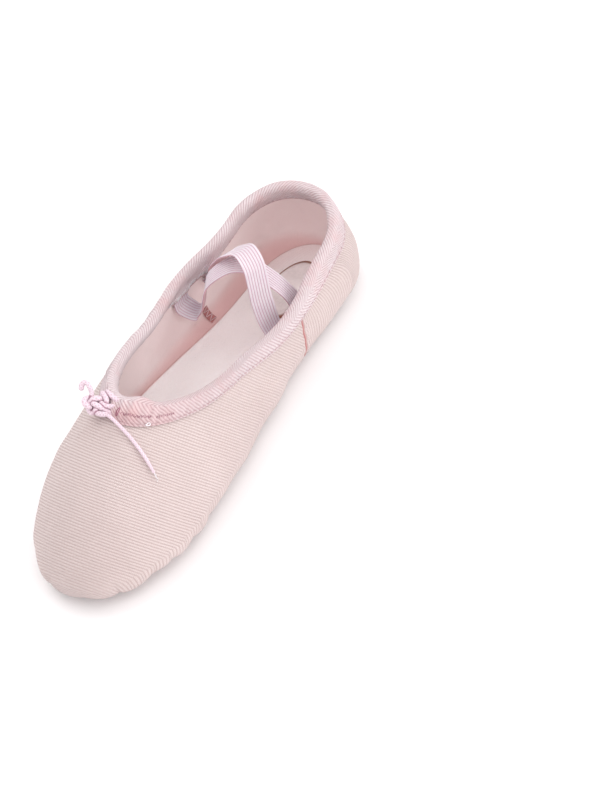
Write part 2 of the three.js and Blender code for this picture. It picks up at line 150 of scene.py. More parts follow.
def add_stage():
    scene = bpy.context.scene
    scene.view_settings.view_transform = "Standard"
    world = bpy.data.worlds.new("studio")
    world.use_nodes = True
    world.node_tree.nodes["Background"].inputs["Color"].default_value = (*WARM_WHITE, 1)
    world.node_tree.nodes["Background"].inputs["Strength"].default_value = 1.0
    scene.world = world
    key_way = VIEW_UP * 0.75 - VIEW_RIGHT * 0.55 + VIEW_BACK * 0.45
    add_light("key", key_way, distance=1.1, size=0.7, power=2.5)
    inside_way = VIEW_BACK + VIEW_UP * 0.25 - VIEW_RIGHT * 0.1
    add_light("inside", inside_way, distance=1.2, size=0.5, power=1.7)
    fill_way = VIEW_RIGHT * 0.8 + VIEW_BACK * 0.7 - VIEW_UP * 0.15
    add_light("fill", fill_way, distance=1.3, size=1.0, power=5.8, colour=WARM_WHITE)
    add_light("back", (-0.55, 0.5, 0.7), distance=1.2, size=0.8, power=2.2)
    bpy.ops.mesh.primitive_plane_add(size=8)
    floor = bpy.context.object
    floor.name = "floor"
    material = bpy.data.materials.new("floor_paper")
    material.use_nodes = True
    shader = material.node_tree.nodes["Principled BSDF"]
    shader.inputs["Base Color"].default_value = FLOOR_WHITE
    shader.inputs["Roughness"].default_value = 0.9
    floor.data.materials.append(material)


# ---- The upper as a surface, the same one as the CAD's ----
def lerp(a, b, u):
    return a + (b - a) * u


def smooth(u):
    u = np.clip(u, 0, 1)
    return u * u * (3 - 2 * u)


def ramp(value, low, high):
    """0 below low, 1 above high and smooth between."""
    return smooth((value - low) / (high - low))


def bell(value, width):
    return np.exp(-((value / width) ** 2))


def wave(u):
    return 0.5 - 0.5 * np.cos(np.pi * np.clip(u, 0, 1))


def normalised(v):
    return v / np.maximum(np.linalg.norm(v, axis=-1, keepdims=True), 1e-12)


def run_along(path):
    """The distance along a path at each of its points."""
    return np.concatenate([[0], np.cumsum(np.linalg.norm(np.diff(path, axis=0), axis=1))])


def place_at(path, run, at):
    """The points of a path at the given distances along it. run is run_along(path)."""
    return np.stack([np.interp(at, run, path[:, k]) for k in range(3)], 1)


def full_turn(count):
    """Evenly spaced angles round a circle."""
    return np.linspace(0, 2 * np.pi, count, endpoint=False)


def corner(share, length, half, power):
    angle = np.clip(share, 0, 1) * np.pi / 2
    return (
        length * np.clip(np.cos(angle), 0, 1) ** (2 / power),
        half * np.clip(np.sin(angle), 0, 1) ** (2 / power),
    )


def plan_point(t, o):
    """Half of a plan outline from the heel (t = 0) to the toe (t = 1)."""
    heel_x, heel_y = corner(t / HEEL_SHARE, o["heel_length"], o["heel_half"], o["heel_power"])
    toe_x, toe_y = corner((1 - t) / (1 - TOE_SHARE), o["toe_length"], o["ball_half"], o["toe_power"])
    u = np.clip((t - HEEL_SHARE) / (TOE_SHARE - HEEL_SHARE), 0, 1)
    pinch = o["waist_half"] - (o["heel_half"] + o["ball_half"]) / 2
    side_x = lerp(o["back"] + o["heel_length"], o["front"] - o["toe_length"], u)
    side_y = lerp(o["heel_half"], o["ball_half"], smooth(u)) + pinch * np.sin(np.pi * u) ** 2
    x = np.where(t > TOE_SHARE, o["front"] - o["toe_length"] + toe_x, side_x)
    y = np.where(t > TOE_SHARE, toe_y, side_y)
    at_heel = t < HEEL_SHARE
    return np.where(at_heel, o["back"] + o["heel_length"] - heel_x, x), np.where(at_heel, heel_y, y)


def rim_height(t):
    fall = (RIM_SIDE_HEIGHT - RIM_HEEL_HEIGHT) * wave(t / RIM_FALL_END)
    rise = (RIM_FRONT_HEIGHT - RIM_SIDE_HEIGHT) * wave((t - RIM_RISE_START) / (1 - RIM_RISE_START))
    return RIM_HEEL_HEIGHT + fall + rise


def meridians(station):
    """The handles of two Bezier curves, from the middle of the sole to the widest line and on to the rim.
    station runs 0 to 1 from the heel to the toe on the left side and 1 to 2 back on the right side."""
    turn = np.mod(station, 2)
    side = np.where(turn <= 1, 1.0, -1.0)
    t = np.where(turn <= 1, turn, 2 - turn)
    ox, oy = plan_point(t, BODY)
    rx, ry = plan_point(t, RIM)
    height = rim_height(t)
    rise = height - OUTLINE_HEIGHT
    roof = smooth((np.hypot(ox - rx, oy - ry) - 10) / 45)
    flat = np.zeros_like(t)
    spine_x = lerp(SPINE_BACK, SPINE_FRONT, 0.35 * t + 0.65 * smooth(t))
    spine = np.stack([spine_x, flat, flat + CANVAS_BOTTOM], -1)
    outline = np.stack([ox, side * oy, flat + OUTLINE_HEIGHT], -1)
    rim = np.stack([rx, side * ry, height], -1)
    floor_handle = lerp(spine, outline, 0.86)
    floor_handle[..., 2] = CANVAS_BOTTOM
    wall_foot = outline.copy()
    wall_foot[..., 2] = lerp(CANVAS_BOTTOM, OUTLINE_HEIGHT, 0.25)
    wall_head = outline.copy()
    wall_head[..., 2] = OUTLINE_HEIGHT + 0.5 * rise * (1 - 0.25 * roof)
    rim_handle = lerp(rim, outline, lerp(0.35, 0.38, roof)[..., None])
    rim_handle[..., 2] = height - (1 - roof) * 0.4 * rise - roof * 6
    lower = np.stack([spine, floor_handle, wall_foot, outline], -2)
    upper = np.stack([outline, wall_head, rim_handle, rim], -2)
    return lower, upper


def bezier_weights(u):
    return np.stack([(1 - u) ** 3, 3 * u * (1 - u) ** 2, 3 * u * u * (1 - u), u ** 3], -1)


CURVE_STEPS = 30


def toe_shift(x):
    """How far the toe end bends towards the left."""
    return TOE_BEND * (np.clip(x - BEND_START, 0, None) / (LENGTH / 2 - BEND_START)) ** 2


def skin_and_length(station, below):
    """The outer skin's point so far below the rim, and the meridian's whole length."""
    station, below = np.broadcast_arrays(np.asarray(station, float), np.asarray(below, float))
    shape = station.shape
    lower, upper = meridians(station.ravel())
    weights = bezier_weights(np.linspace(0, 1, CURVE_STEPS + 1))
    samples = np.concatenate([weights @ lower, (weights @ upper)[:, 1:]], 1)
    steps = np.linalg.norm(np.diff(samples, axis=1), axis=2)
    run = np.concatenate([np.zeros((len(steps), 1)), np.cumsum(steps, 1)], 1)
    target = np.clip(run[:, -1] - below.ravel(), 0, None)
    k = np.clip((run < target[:, None]).sum(1), 1, 2 * CURVE_STEPS)
    rows = np.arange(len(k))
    part = (target - run[rows, k - 1]) / (run[rows, k] - run[rows, k - 1])
    at = (k - 1 + np.clip(part, 0, 1)) / CURVE_STEPS
    on_wall = at > 1
    handles = np.where(on_wall[:, None, None], upper, lower)
    p = np.einsum("nk,nkc->nc", bezier_weights(at - on_wall), handles)
    p[:, 1] += toe_shift(p[:, 0])
    return p.reshape(*shape, 3), run[:, -1].reshape(shape)


def skin(station, below):
    return skin_and_length(station, below)[0]


def rim_to_spine(station):
    return skin_and_length(station, 0)[1]


def skin_frame(station, below):
    """The skin's points and its outward directions."""
    p, length = skin_and_length(station, below)
    ahead = skin(station + 0.004, below) - skin(station - 0.004, below)
    down = skin(station, np.minimum(below + 0.4, length)) - skin(station, np.maximum(below - 0.4, 0))
    out = normalised(np.cross(ahead, down))
    at_spine = ramp(below, length - 4, length - 1)[..., None]
    return p, normalised(lerp(out, np.array([0, 0, -1.0]), at_spine))


def station_at(x, side, below_of):
    """The station on one side where the skin has the given x. below_of gives the distance below the rim."""
    low = np.full_like(x, 0.05)
    high = np.full_like(x, 0.95)
    for _ in range(28):
        middle = (low + high) / 2
        behind = skin(middle, below_of(middle))[..., 0] < x
        low = np.where(behind, middle, low)
        high = np.where(behind, high, middle)
    return low if side > 0 else 2 - low


def wall_frame(x, side, below):
    """The skin's points and outward directions at the given x, on the left (1) or right (-1) side."""
    x = np.atleast_1d(np.asarray(x, float))
    station = station_at(x, side, lambda s: np.full_like(s, below))
    return skin_frame(station, np.full_like(x, below))


# ---- Soft relief of the cloth ----
BROAD_WAVES, SMALL_WAVES = (0.5, 26), (0.16, 8)  # height and size
# Each soft fold: its middle, its direction, half length, half width and height.
SOFT_FOLDS = [
    ((-12, 31, 31), (1, 0.05, 0.08), 24, 4.5, -1.5),
    ((-20, 32, 19), (1, 0.05, 0.1), 22, 5, 1.0),
    ((74, 38, 12), (1, -0.35, 0.25), 12, 5, 1.3),
    ((52, 39, 14), (1, 0.1, -0.5), 12, 5, -1.2),
    ((24, 33, 20), (0.6, 0, 1), 14, 6, 0.9),
    ((4, 31, 24), (0.3, 0, 1), 16, 6, -1.0),
    ((-14, 31, 18), (0.2, 0, 1), 14, 6, 0.9),
    ((-32, 31, 16), (-0.3, 0, 1), 13, 5, -0.8),
    ((-62, 30, 20), (0.2, 0, 1), 13, 6, 0.6),
    ((66, 10, 52), (0.8, 0.7, -0.3), 18, 4, 0.7),
    ((70, 0, 50), (1, 0.25, -0.5), 20, 4, -0.6),
    ((62, -16, 50), (0.9, -0.6, -0.3), 16, 4, 0.6),
    ((20, -33, 22), (0.4, 0, 1), 16, 6, 0.9),
    ((0, -31, 20), (-0.2, 0, 1), 14, 6, -0.9),
    ((-22, -31, 20), (0.2, 0, 1), 14, 6, 0.8),
    ((-70, -29, 20), (0.1, 0, 1), 13, 6, -0.6),
]


def soft_noise(points, size):
    """Smooth noise from -1 to 1 with bumps of about the given size."""
    flat = points.reshape(-1, 3) / size
    return np.array([noise.noise(Vector(p)) for p in flat]).reshape(points.shape[:-1]) * 1.6


def relief(points, below):
    """How far the cloth stands out of its smooth shape."""
    height = BROAD_WAVES[0] * soft_noise(points, BROAD_WAVES[1])
    height = height + SMALL_WAVES[0] * soft_noise(points + 50, SMALL_WAVES[1])
    for middle, direction, half_length, half_width, rise in SOFT_FOLDS:
        way = normalised(np.array(direction, float))
        offset = points - np.array(middle)
        along = offset @ way
        across = np.linalg.norm(offset - along[..., None] * way, axis=-1)
        height = height + rise * bell(along, half_length) * bell(across, half_width)
    under_binding = ramp(below, 12, 22)
    off_the_floor = 0.25 + 0.75 * ramp(points[..., 2], 2, 10)
    return height * under_binding * off_the_floor


PLEAT_CENTRE = np.array([57, 1.5])
# Creases between the pleats, in degrees round the wide end of the front patch.
PLEAT_CREASES = [-104, -83, -64, -49, -36, -22, -7, 9, 24, 40, 55, 73, 95]


def pleats(points):
    """The canvas is pleated under the toe: lobes that stand out between creases."""
    offset = points[..., :2] - PLEAT_CENTRE
    angle = np.degrees(np.arctan2(offset[..., 1], offset[..., 0]))
    distance = np.hypot(offset[..., 0], offset[..., 1])
    height = np.zeros_like(angle)
    for i, (start, end) in enumerate(zip(PLEAT_CREASES, PLEAT_CREASES[1:])):
        u = np.clip((angle - start) / (end - start), 0, 1)
        lean = u ** (1.5 if i % 2 else 0.7)
        height = height + (1.1 + 0.35 * (i % 3)) * np.sin(np.pi * lean) ** 0.7
    from_patch = ramp(distance, 25, 31)
    below_wall = 1 - ramp(points[..., 2], 5, 22)
    return height * from_patch * below_wall


def arch_wrinkles(points):
    """Soft wrinkles of the canvas under the arch."""
    x, y, z = (points[..., i] for i in range(3))
    bend = x + 0.12 * y + 3 * np.sin(y / 11)
    waves = 0.6 * np.sin(bend / 3.9) + 0.35 * np.sin(bend / 2.3 + y / 9)
    zone = ramp(x, -44, -36) * (1 - ramp(x, -8, 3)) * (1 - ramp(z, 4, 14))
    return waves * zone * (0.35 + 0.65 * bell(np.abs(y) - 14, 10))


# ---- Meshes ----
def make_object(name, points, faces, uv, marks, material, sharp):
    """points are in millimetres, faces is a list of arrays of corners, uv gives each corner's place, marks is
    a dictionary of a number for each point, and edges bent by more than sharp degrees are shaded as edges."""
    mesh = bpy.data.meshes.new(name)
    corners = np.concatenate([f.ravel() for f in faces]).astype(np.int32)
    counts = np.concatenate([np.full(*f.shape) for f in faces]).astype(np.int32)
    mesh.vertices.add(len(points))
    mesh.vertices.foreach_set("co", (np.asarray(points) * MM).astype(np.float32).ravel())
    mesh.loops.add(len(corners))
    mesh.loops.foreach_set("vertex_index", corners)
    mesh.polygons.add(len(counts))
    mesh.polygons.foreach_set("loop_start", np.concatenate([[0], np.cumsum(counts)[:-1]]).astype(np.int32))
    mesh.polygons.foreach_set("use_smooth", np.ones(len(counts), bool))
    layer = mesh.uv_layers.new(name="cloth")
    flat = np.concatenate([u.reshape(-1, 2) for u in uv])
    layer.data.foreach_set("uv", flat.astype(np.float32).ravel())
    for mark, values in (marks or {}).items():
        attribute = mesh.attributes.new(mark, "FLOAT", "POINT")
        attribute.data.foreach_set("value", np.asarray(values, np.float32).ravel())
    mesh.update(calc_edges=True)
    mesh.validate()
    mesh.set_sharp_from_angle(angle=math.radians(sharp))
    piece = bpy.data.objects.new(name, mesh)
    bpy.context.scene.collection.objects.link(piece)
    mesh.materials.append(material)
    return piece


def facing_out(points, faces, uv):
    """The faces of a closed mesh and their cloth places, all turned over if it is inside out."""
    volume = 0
    for f in faces:
        for k in range(2, f.shape[1]):
            a, b, c = points[f[:, 0]], points[f[:, k - 1]], points[f[:, k]]
            volume += np.einsum("ij,ij->", a, np.cross(b, c))
    if volume > 0:
        return faces, uv
    return [f[:, ::-1] for f in faces], [u[:, ::-1] for u in uv]


def closed_mesh(name, points, faces, uv, material, marks=None, sharp=50):
    faces, uv = facing_out(points, faces, uv)
    return make_object(name, points, faces, uv, marks, material, sharp)


def quads(rows, columns, wrap_rows=False, wrap_columns=True):
    """Faces of a grid of points, as point numbers."""
    i, j = np.meshgrid(
        np.arange(rows if wrap_rows else rows - 1),
        np.arange(columns if wrap_columns else columns - 1),
        indexing="ij",
    )
    i, j = i.ravel(), j.ravel()
    below, right = (i + 1) % rows, (j + 1) % columns
    return np.stack([i * columns + j, i * columns + right, below * columns + right, below * columns + j], 1)


def shell(name, stations, below, outer, thickness, cloth_place, material, whole, marks):
    """A layer of the upper. stations and below are grids whose last row lies on the middle of the sole.
    outer is how far its outer face stands out of the skin, and whole says that its columns go all round."""
    rows, columns = stations.shape
    skin_points, out = skin_frame(stations, below)
    outside = skin_points + out * outer[..., None]
    inside = skin_points + out * (outer - thickness)[..., None]
    mirror = (-np.arange(columns)) % columns if whole else columns - 1 - np.arange(columns)
    for face in (outside, inside):  # the two halves meet on the middle of the sole
        face[-1] = (face[-1] + face[-1][mirror]) / 2
    points = np.concatenate([outside.reshape(-1, 3), inside.reshape(-1, 3)])
    n = rows * columns
    outer_faces = quads(rows, columns, wrap_columns=whole)
    inner_faces = outer_faces[:, ::-1] + n
    j = np.arange(columns if whole else columns - 1)
    top = np.stack([j, j + n, (j + 1) % columns + n, (j + 1) % columns], 1)
    faces = [outer_faces, inner_faces, top]
    if not whole:  # the two cut ends
        i = np.arange(rows - 1) * columns
        faces.append(np.stack([i, i + columns, i + columns + n, i + n], 1))
        i = i + columns - 1
        faces.append(np.stack([i, i + n, i + columns + n, i + columns], 1))
    place = np.concatenate([cloth_place.reshape(-1, 2)] * 2)
    uv = [place[f] for f in faces]
    if whole:  # the last column of faces goes on to the end of the cloth, not back to its start
        end = cloth_place[:, -1] * 2 - cloth_place[:, -2]
        last = np.arange(columns - 1, columns * (rows - 1), columns)
        for part, upper, lower in ((0, 1, 2), (1, 2, 1)):
            uv[part][last, upper] = end[:-1]
            uv[part][last, lower] = end[1:]
        uv[2][-1, 2] = uv[2][-1, 3] = end[0]
    weld = np.arange(2 * n)
    last_row = (rows - 1) * columns
    for start in (last_row, last_row + n):
        weld[start:start + columns] = start + np.minimum(np.arange(columns), mirror)
    faces = [weld[f] for f in faces]
    marks = {mark: np.tile(v.ravel(), 2) for mark, v in marks.items()}
    return without_loose_points(closed_mesh(name, points, faces, uv, material, marks))


def without_loose_points(piece):
    work = bmesh.new()
    work.from_mesh(piece.data)
    loose = [v for v in work.verts if not v.link_faces]
    bmesh.ops.delete(work, geom=loose, context="VERTS")
    work.to_mesh(piece.data)
    work.free()
    return piece


def smooth_path(points, count):
    """Evenly spaced points on a centripetal Catmull-Rom curve, and its length."""
    p = np.asarray(points, float)
    p = np.concatenate([2 * p[:1] - p[1:2], p, 2 * p[-1:] - p[-2:-1]])
    dense = []
    for a, b, c, d in zip(p, p[1:], p[2:], p[3:]):
        gaps = [max(np.linalg.norm(q - r), 1e-6) ** 0.5 for q, r in ((b, a), (c, b), (d, c))]
        m1 = ((b - a) / gaps[0] - (c - a) / (gaps[0] + gaps[1]) + (c - b) / gaps[1]) * gaps[1]
        m2 = ((c - b) / gaps[1] - (d - b) / (gaps[1] + gaps[2]) + (d - c) / gaps[2]) * gaps[1]
        u = np.linspace(0, 1, 24, endpoint=False)[:, None]
        dense.append(
            (2 * u ** 3 - 3 * u ** 2 + 1) * b + (u ** 3 - 2 * u ** 2 + u) * m1
            + (3 * u ** 2 - 2 * u ** 3) * c + (u ** 3 - u ** 2) * m2
        )
    dense = np.concatenate([*dense, p[-2:-1]])
    run = run_along(dense)
    return place_at(dense, run, np.linspace(0, run[-1], count)), run[-1]


def sweep_frames(path, closed):
    """Tangents and two crosswise directions that don't twist."""
    if closed:
        tangent = normalised(np.roll(path, -1, 0) - np.roll(path, 1, 0))
    else:
        tangent = normalised(np.gradient(path, axis=0))
    first = np.cross(tangent[0], [0.3, 0.2, 1])
    side = [first / np.linalg.norm(first)]
    for t in tangent[1:]:
        s = side[-1] - t * (side[-1] @ t)
        side.append(s / np.linalg.norm(s))
    side = np.array(side)
    return tangent, side, np.cross(tangent, side)


def tube(path, radius, sides, closed=False):
    """Points, faces and cloth places of a round cord with rounded ends. radius can differ along it."""
    radius = np.broadcast_to(np.asarray(radius, float), (len(path),)).copy()
    tangent, side, rise = sweep_frames(path, closed)
    run = run_along(path)
    if not closed:
        r0, r1 = radius[0], radius[-1]
        cap = np.array([0.25, 0.6, 0.9])
        drop = np.sqrt(1 - cap ** 2)
        start = path[0] - tangent[0] * (r0 * drop)[:, None]
        end = path[-1] + tangent[-1] * (r1 * drop[::-1])[:, None]
        path = np.concatenate([start, path, end])
        radius = np.concatenate([r0 * cap, radius, r1 * cap[::-1]])
        side = np.concatenate([[side[0]] * 3, side, [side[-1]] * 3])
        rise = np.concatenate([[rise[0]] * 3, rise, [rise[-1]] * 3])
        run = np.concatenate([run[0] - r0 * drop, run, run[-1] + r1 * drop[::-1]])
    angle = full_turn(sides)
    ring = np.cos(angle)[None, :, None] * side[:, None] + np.sin(angle)[None, :, None] * rise[:, None]
    points = (path[:, None] + ring * radius[:, None, None]).reshape(-1, 3)
    faces = quads(len(path), sides, wrap_rows=closed)
    column = faces % sides
    column[:, 1:3] = np.where(column[:, 1:3] == 0, sides, column[:, 1:3])
    along = run[faces // sides]
    if closed:
        last = slice(-sides, None)
        along[last, 2:] = run[-1] + np.linalg.norm(path[0] - path[-1])
    uv = np.stack([along, column / sides], -1)
    parts, places = [faces], [uv]
    if not closed:
        last = (len(path) - 1) * sides
        parts.append(np.arange(sides)[None, ::-1].copy())
        parts.append(last + np.arange(sides)[None])
        places.append(np.stack([np.full(sides, run[0]), np.arange(sides) / sides], -1)[None])
        places.append(np.stack([np.full(sides, run[-1]), np.arange(sides) / sides], -1)[None])
    return points, parts, places


def joined_object(name, parts, material, marks=None):
    """One object of several closed bodies, each given as points, faces and cloth places."""
    points, faces, places, count = [], [], [], 0
    for part_points, part_faces, part_places in parts:
        part_faces, part_places = facing_out(part_points, part_faces, part_places)
        points.append(part_points)
        faces += [f + count for f in part_faces]
        places += part_places
        count += len(part_points)
    return make_object(name, np.concatenate(points), faces, places, marks, material, sharp=60)


def stitch_shape():
    """One stitch of unit size: a rounded bar along x that dips at its ends."""
    along = np.array([-0.93, -0.62, 0, 0.62, 0.93])
    fat = np.sqrt(1 - np.abs(along) ** 3)
    angle = full_turn(8)
    x = np.repeat(along, 8)
    y = (fat[:, None] * np.cos(angle)).ravel()
    z = (fat[:, None] * np.sin(angle)).ravel() - np.repeat(0.9 * np.abs(along) ** 3, 8)
    points = np.stack([x, y, z], 1) / 2
    faces = quads(5, 8)
    uv = np.stack([points[faces][..., 0], points[faces][..., 1]], -1)
    caps = [np.arange(8)[None, ::-1].copy(), 32 + np.arange(8)[None]]
    return points, [faces, *caps], [uv, *(np.stack([points[c][..., 0], points[c][..., 1]], -1) for c in caps)]


def stitches(name, centres, along, out, size, material):
    """A row of separate stitches. size is their length, width and height."""
    centres, along, out = (np.asarray(v, float).reshape(-1, 3) for v in (centres, along, out))
    along = normalised(along)
    out = normalised(out - along * np.sum(out * along, 1, keepdims=True))
    across = np.cross(out, along)
    shape, faces, uv = stitch_shape()
    shape = shape * np.array(size)
    parts = []
    for c, a, s, o in zip(centres, along, across, out):
        jitter = 1 + 0.12 * (rng.random(3) - 0.5)
        p = c + (shape[:, :1] * a * jitter[0] + shape[:, 1:2] * s * jitter[1] + shape[:, 2:] * o * jitter[2])
        parts.append((p, faces, [u * size[0] + c[0] for u in uv]))
    return joined_object(name, parts, material)


def spaced(path, pitch, closed=False):
    """Points every pitch along a path, with the directions along it."""
    if closed:
        path = np.concatenate([path, path[:1]])
    run = run_along(path)
    count = max(int(run[-1] / pitch), 1)
    at = (np.arange(count) + 0.5) * run[-1] / count
    middle, ahead, behind = (place_at(path, run, at + step) for step in (0, 0.3, -0.3))
    return middle, normalised(ahead - behind), at


def stitch_places(line, out, pitch, closed=False):
    """The middles of a row of stitches on a line, with the directions along the line and out of the cloth."""
    middle, along, at = spaced(line, pitch, closed)
    run = run_along(np.concatenate([line, line[:1]]) if closed else line)
    return middle, along, out[np.clip(np.searchsorted(run, at), 0, len(line) - 1)]


def downwards(count):
    return np.tile([0.0, 0, -1], (count, 1))


# The length, width and height of each kind of stitch, and how far apart the stitches of a row are.
BINDING_STITCH, BINDING_PITCH = (2.15, 0.42, 0.36), 2.7
CROSS_SEAM_STITCH, CROSS_SEAM_PITCH = (2.0, 0.4, 0.34), 2.6
CENTRE_SEAM_STITCH, CENTRE_SEAM_PITCH = (2.1, 0.4, 0.34), 2.8
WHIPSTITCH, WHIP_PITCH = (4.2, 0.36, 0.3), 1.25
LOCKSTITCH, LOCK_PITCH = (2.2, 0.62, 0.44), 3.0
NEEDLE_HOLE = (0.95, 0.8, 0.3)
TACK_STITCH = (2.9, 0.55, 0.5)
MEND_STITCH = (1.5, 0.34, 0.3)
MEND_END_STITCH = (1.3, 0.3, 0.3)


# ---- Materials ----
RIB_BEAD = 1.05  # between the threads that cross the canvas's ribs
TWILL_PITCH = 1.8
TWILL_SLANT = 1.3
TWILL_TURN = 4.0  # from the fold to the line where the herringbone changes direction
LINING_THREAD = 0.7
INSOLE_THREAD = 0.8
BRAID_PITCH = 1.5
PLY_PITCH = 0.5


class Cloth:
    """A material with a Principled shader and short helpers for its nodes."""

    def __init__(self, name, roughness, sheen, sheen_tint=(1, 1, 1)):
        self.material = bpy.data.materials.new(name)
        self.material.use_nodes = True
        self.tree = self.material.node_tree
        self.shader = self.tree.nodes["Principled BSDF"]
        self.shader.inputs["Roughness"].default_value = roughness
        self.shader.inputs["Specular IOR Level"].default_value = 0.25
        self.shader.inputs["Sheen Weight"].default_value = sheen
        self.shader.inputs["Sheen Roughness"].default_value = 0.5
        self.shader.inputs["Sheen Tint"].default_value = (*sheen_tint, 1)

    def node(self, kind, **values):
        node = self.tree.nodes.new(kind)
        for key, value in values.items():
            setattr(node, key, value)
        return node

    def put(self, socket, value):
        if isinstance(value, bpy.types.NodeSocket):
            self.tree.links.new(value, socket)
        else:
            socket.default_value = value

    def math(self, operation, a, b=0.0, c=0.0):
        node = self.node("ShaderNodeMath", operation=operation)
        for socket, value in zip(node.inputs, (a, b, c)):
            self.put(socket, value)
        return node.outputs[0]

    def place(self):
        """The cloth's own two coordinates, in millimetres."""
        uv = self.node("ShaderNodeUVMap", uv_map="cloth")
        split = self.node("ShaderNodeSeparateXYZ")
        self.put(split.inputs[0], uv.outputs[0])
        return split.outputs[0], split.outputs[1]

    def mark(self, name):
        return self.node("ShaderNodeAttribute", attribute_name=name).outputs["Fac"]

    def object_place(self):
        return self.node("ShaderNodeTexCoord").outputs["Object"]

    def noise(self, size_mm, detail=2.0, roughness=0.5, distortion=0.0):
        node = self.node("ShaderNodeTexNoise")
        self.put(node.inputs["Vector"], self.object_place())
        node.inputs["Scale"].default_value = 1 / (size_mm * MM)
        node.inputs["Detail"].default_value = detail
        node.inputs["Roughness"].default_value = roughness
        node.inputs["Distortion"].default_value = distortion
        return node.outputs["Fac"]

    def range(self, value, low, high, to_low=0.0, to_high=1.0):
        node = self.node("ShaderNodeMapRange")
        for socket, v in zip(node.inputs, (value, low, high, to_low, to_high)):
            self.put(socket, v)
        return node.outputs[0]

    def mix(self, share, a, b):
        node = self.node("ShaderNodeMix", data_type="RGBA")
        self.put(node.inputs[0], share)
        for socket, v in zip((node.inputs[6], node.inputs[7]), (a, b)):
            self.put(socket, (*v, 1) if isinstance(v, tuple) else v)
        return node.outputs[2]

    def patchy(self, cloudy, a, b):
        """Two close colours in soft patches."""
        return self.mix(self.range(cloudy, 0.3, 0.7), a, b)

    def colour(self, value):
        self.put(self.shader.inputs["Base Color"], value)

    def bumps(self, *layers):
        """layers are (height from 0 to 1, depth in millimetres)."""
        last = None
        for height, depth in layers:
            bump = self.node("ShaderNodeBump")
            bump.inputs["Distance"].default_value = depth * MM
            self.put(bump.inputs["Height"], height)
            if last is not None:
                self.put(bump.inputs["Normal"], last)
            last = bump.outputs[0]
        self.put(self.shader.inputs["Normal"], last)

    def wave(self, phase):
        """0 to 1 and back, once for each whole number of phase."""
        cosine = self.math("COSINE", self.math("MULTIPLY", phase, 2 * math.pi))
        return self.math("MULTIPLY_ADD", cosine, 0.5, 0.5)

    def ribs(self, phase):
        """Rounded ribs with narrow grooves between them."""
        sine = self.math("ABSOLUTE", self.math("SINE", self.math("MULTIPLY", phase, math.pi)))
        return self.math("POWER", sine, 0.6)


def srgb(red, green, blue):
    """An 8-bit display colour as linear light."""
    return tuple(((v / 255 + 0.055) / 1.055) ** 2.4 for v in (red, green, blue))


def canvas_cloth():
    """Cotton duck: ribs across the slipper, each beaded by the threads that cross it."""
    m = Cloth("canvas_duck", 0.88, 0.25, (1, 0.93, 0.92))
    along, across = m.place()
    phase = m.math("DIVIDE", along, RIB_PITCH)
    parity = m.math("MULTIPLY", m.math("FLOORED_MODULO", m.math("FLOOR", phase), 2.0), 0.5)
    threads = m.wave(m.math("ADD", m.math("DIVIDE", across, RIB_BEAD), parity))
    ribs = m.ribs(phase)
    weave = m.math("MULTIPLY", ribs, m.math("MULTIPLY_ADD", threads, 0.4, 0.6))
    uneven = m.noise(0.9, 2.0, 0.6)
    weave = m.math("MULTIPLY", weave, m.range(uneven, 0.25, 0.75, 0.75, 1.1))
    worn = m.noise(30, 3.0, 0.55)
    light = m.patchy(worn, srgb(213, 199, 197), srgb(207, 192, 190))
    # The darker colour is painted shade in the grooves between the ribs.
    dark = m.patchy(worn, srgb(189, 166, 163), srgb(183, 159, 156))
    cloth = m.mix(m.range(weave, 0.15, 0.85), dark, light)
    fluff = m.noise(0.35, 1.0, 0.5)
    cloth = m.mix(m.range(fluff, 0.35, 0.75, 0, 0.25), cloth, srgb(224, 212, 210))
    # Painted shade: deep rose along the cross seam, for the shadow in the gap between the two canvases.
    rosy_shade = m.math("MULTIPLY", m.mark("rosy_shade"), 0.9)
    m.colour(m.mix(rosy_shade, cloth, srgb(172, 92, 90)))
    m.bumps((weave, 0.36), (fluff, 0.08), (worn, 0.6))
    return m.material


def lining_cloth():
    """Brushed cotton, dusty pink, with painted shade where it meets the sole."""
    m = Cloth("lining_cotton", 0.95, 0.35, (1, 0.9, 0.9))
    along, across = m.place()
    warp, weft = (m.wave(m.math("DIVIDE", place, LINING_THREAD)) for place in (along, across))
    threads = m.math("MULTIPLY", warp, weft)
    nap = m.noise(1.6, 3.0, 0.7)
    cloudy = m.noise(18, 2.0, 0.5)
    cloth = m.patchy(cloudy, srgb(254, 241, 240), srgb(252, 236, 235))
    cloth = m.mix(m.range(nap, 0.3, 0.7, 0, 0.35), cloth, srgb(253, 240, 239))
    # Painted shade: deeper pink low on the wall, where the lining meets the sole.
    m.colour(m.mix(m.mark("foot_shade"), cloth, srgb(226, 178, 176)))
    m.bumps((threads, 0.1), (nap, 0.12), (cloudy, 0.8))
    return m.material


def insole_cloth(name="insole_cotton", edge=srgb(206, 150, 148), tone_and_shade=srgb(254, 250, 250)):
    m = Cloth(name, 0.92, 0.3, (1, 0.95, 0.94))
    split = m.node("ShaderNodeSeparateXYZ")
    m.put(split.inputs[0], m.object_place())
    warp, weft = (m.wave(m.math("MULTIPLY", split.outputs[i], 1 / (INSOLE_THREAD * MM))) for i in (0, 1))
    threads = m.math("MULTIPLY", warp, weft)
    nap = m.noise(1.4, 3.0, 0.65)
    cloudy = m.noise(22, 3.0, 0.55)
    cloth = m.patchy(cloudy, tone_and_shade, srgb(252, 246, 246))
    cloth = m.mix(m.range(nap, 0.35, 0.75, 0, 0.4), cloth, srgb(252, 242, 241))
    # The edge colour is painted shade: on the insole, the shadow in the crease where it meets the wall.
    m.colour(m.mix(m.mark("edge"), cloth, edge))
    m.bumps((threads, 0.12), (nap, 0.15), (cloudy, 0.7))
    return m.material


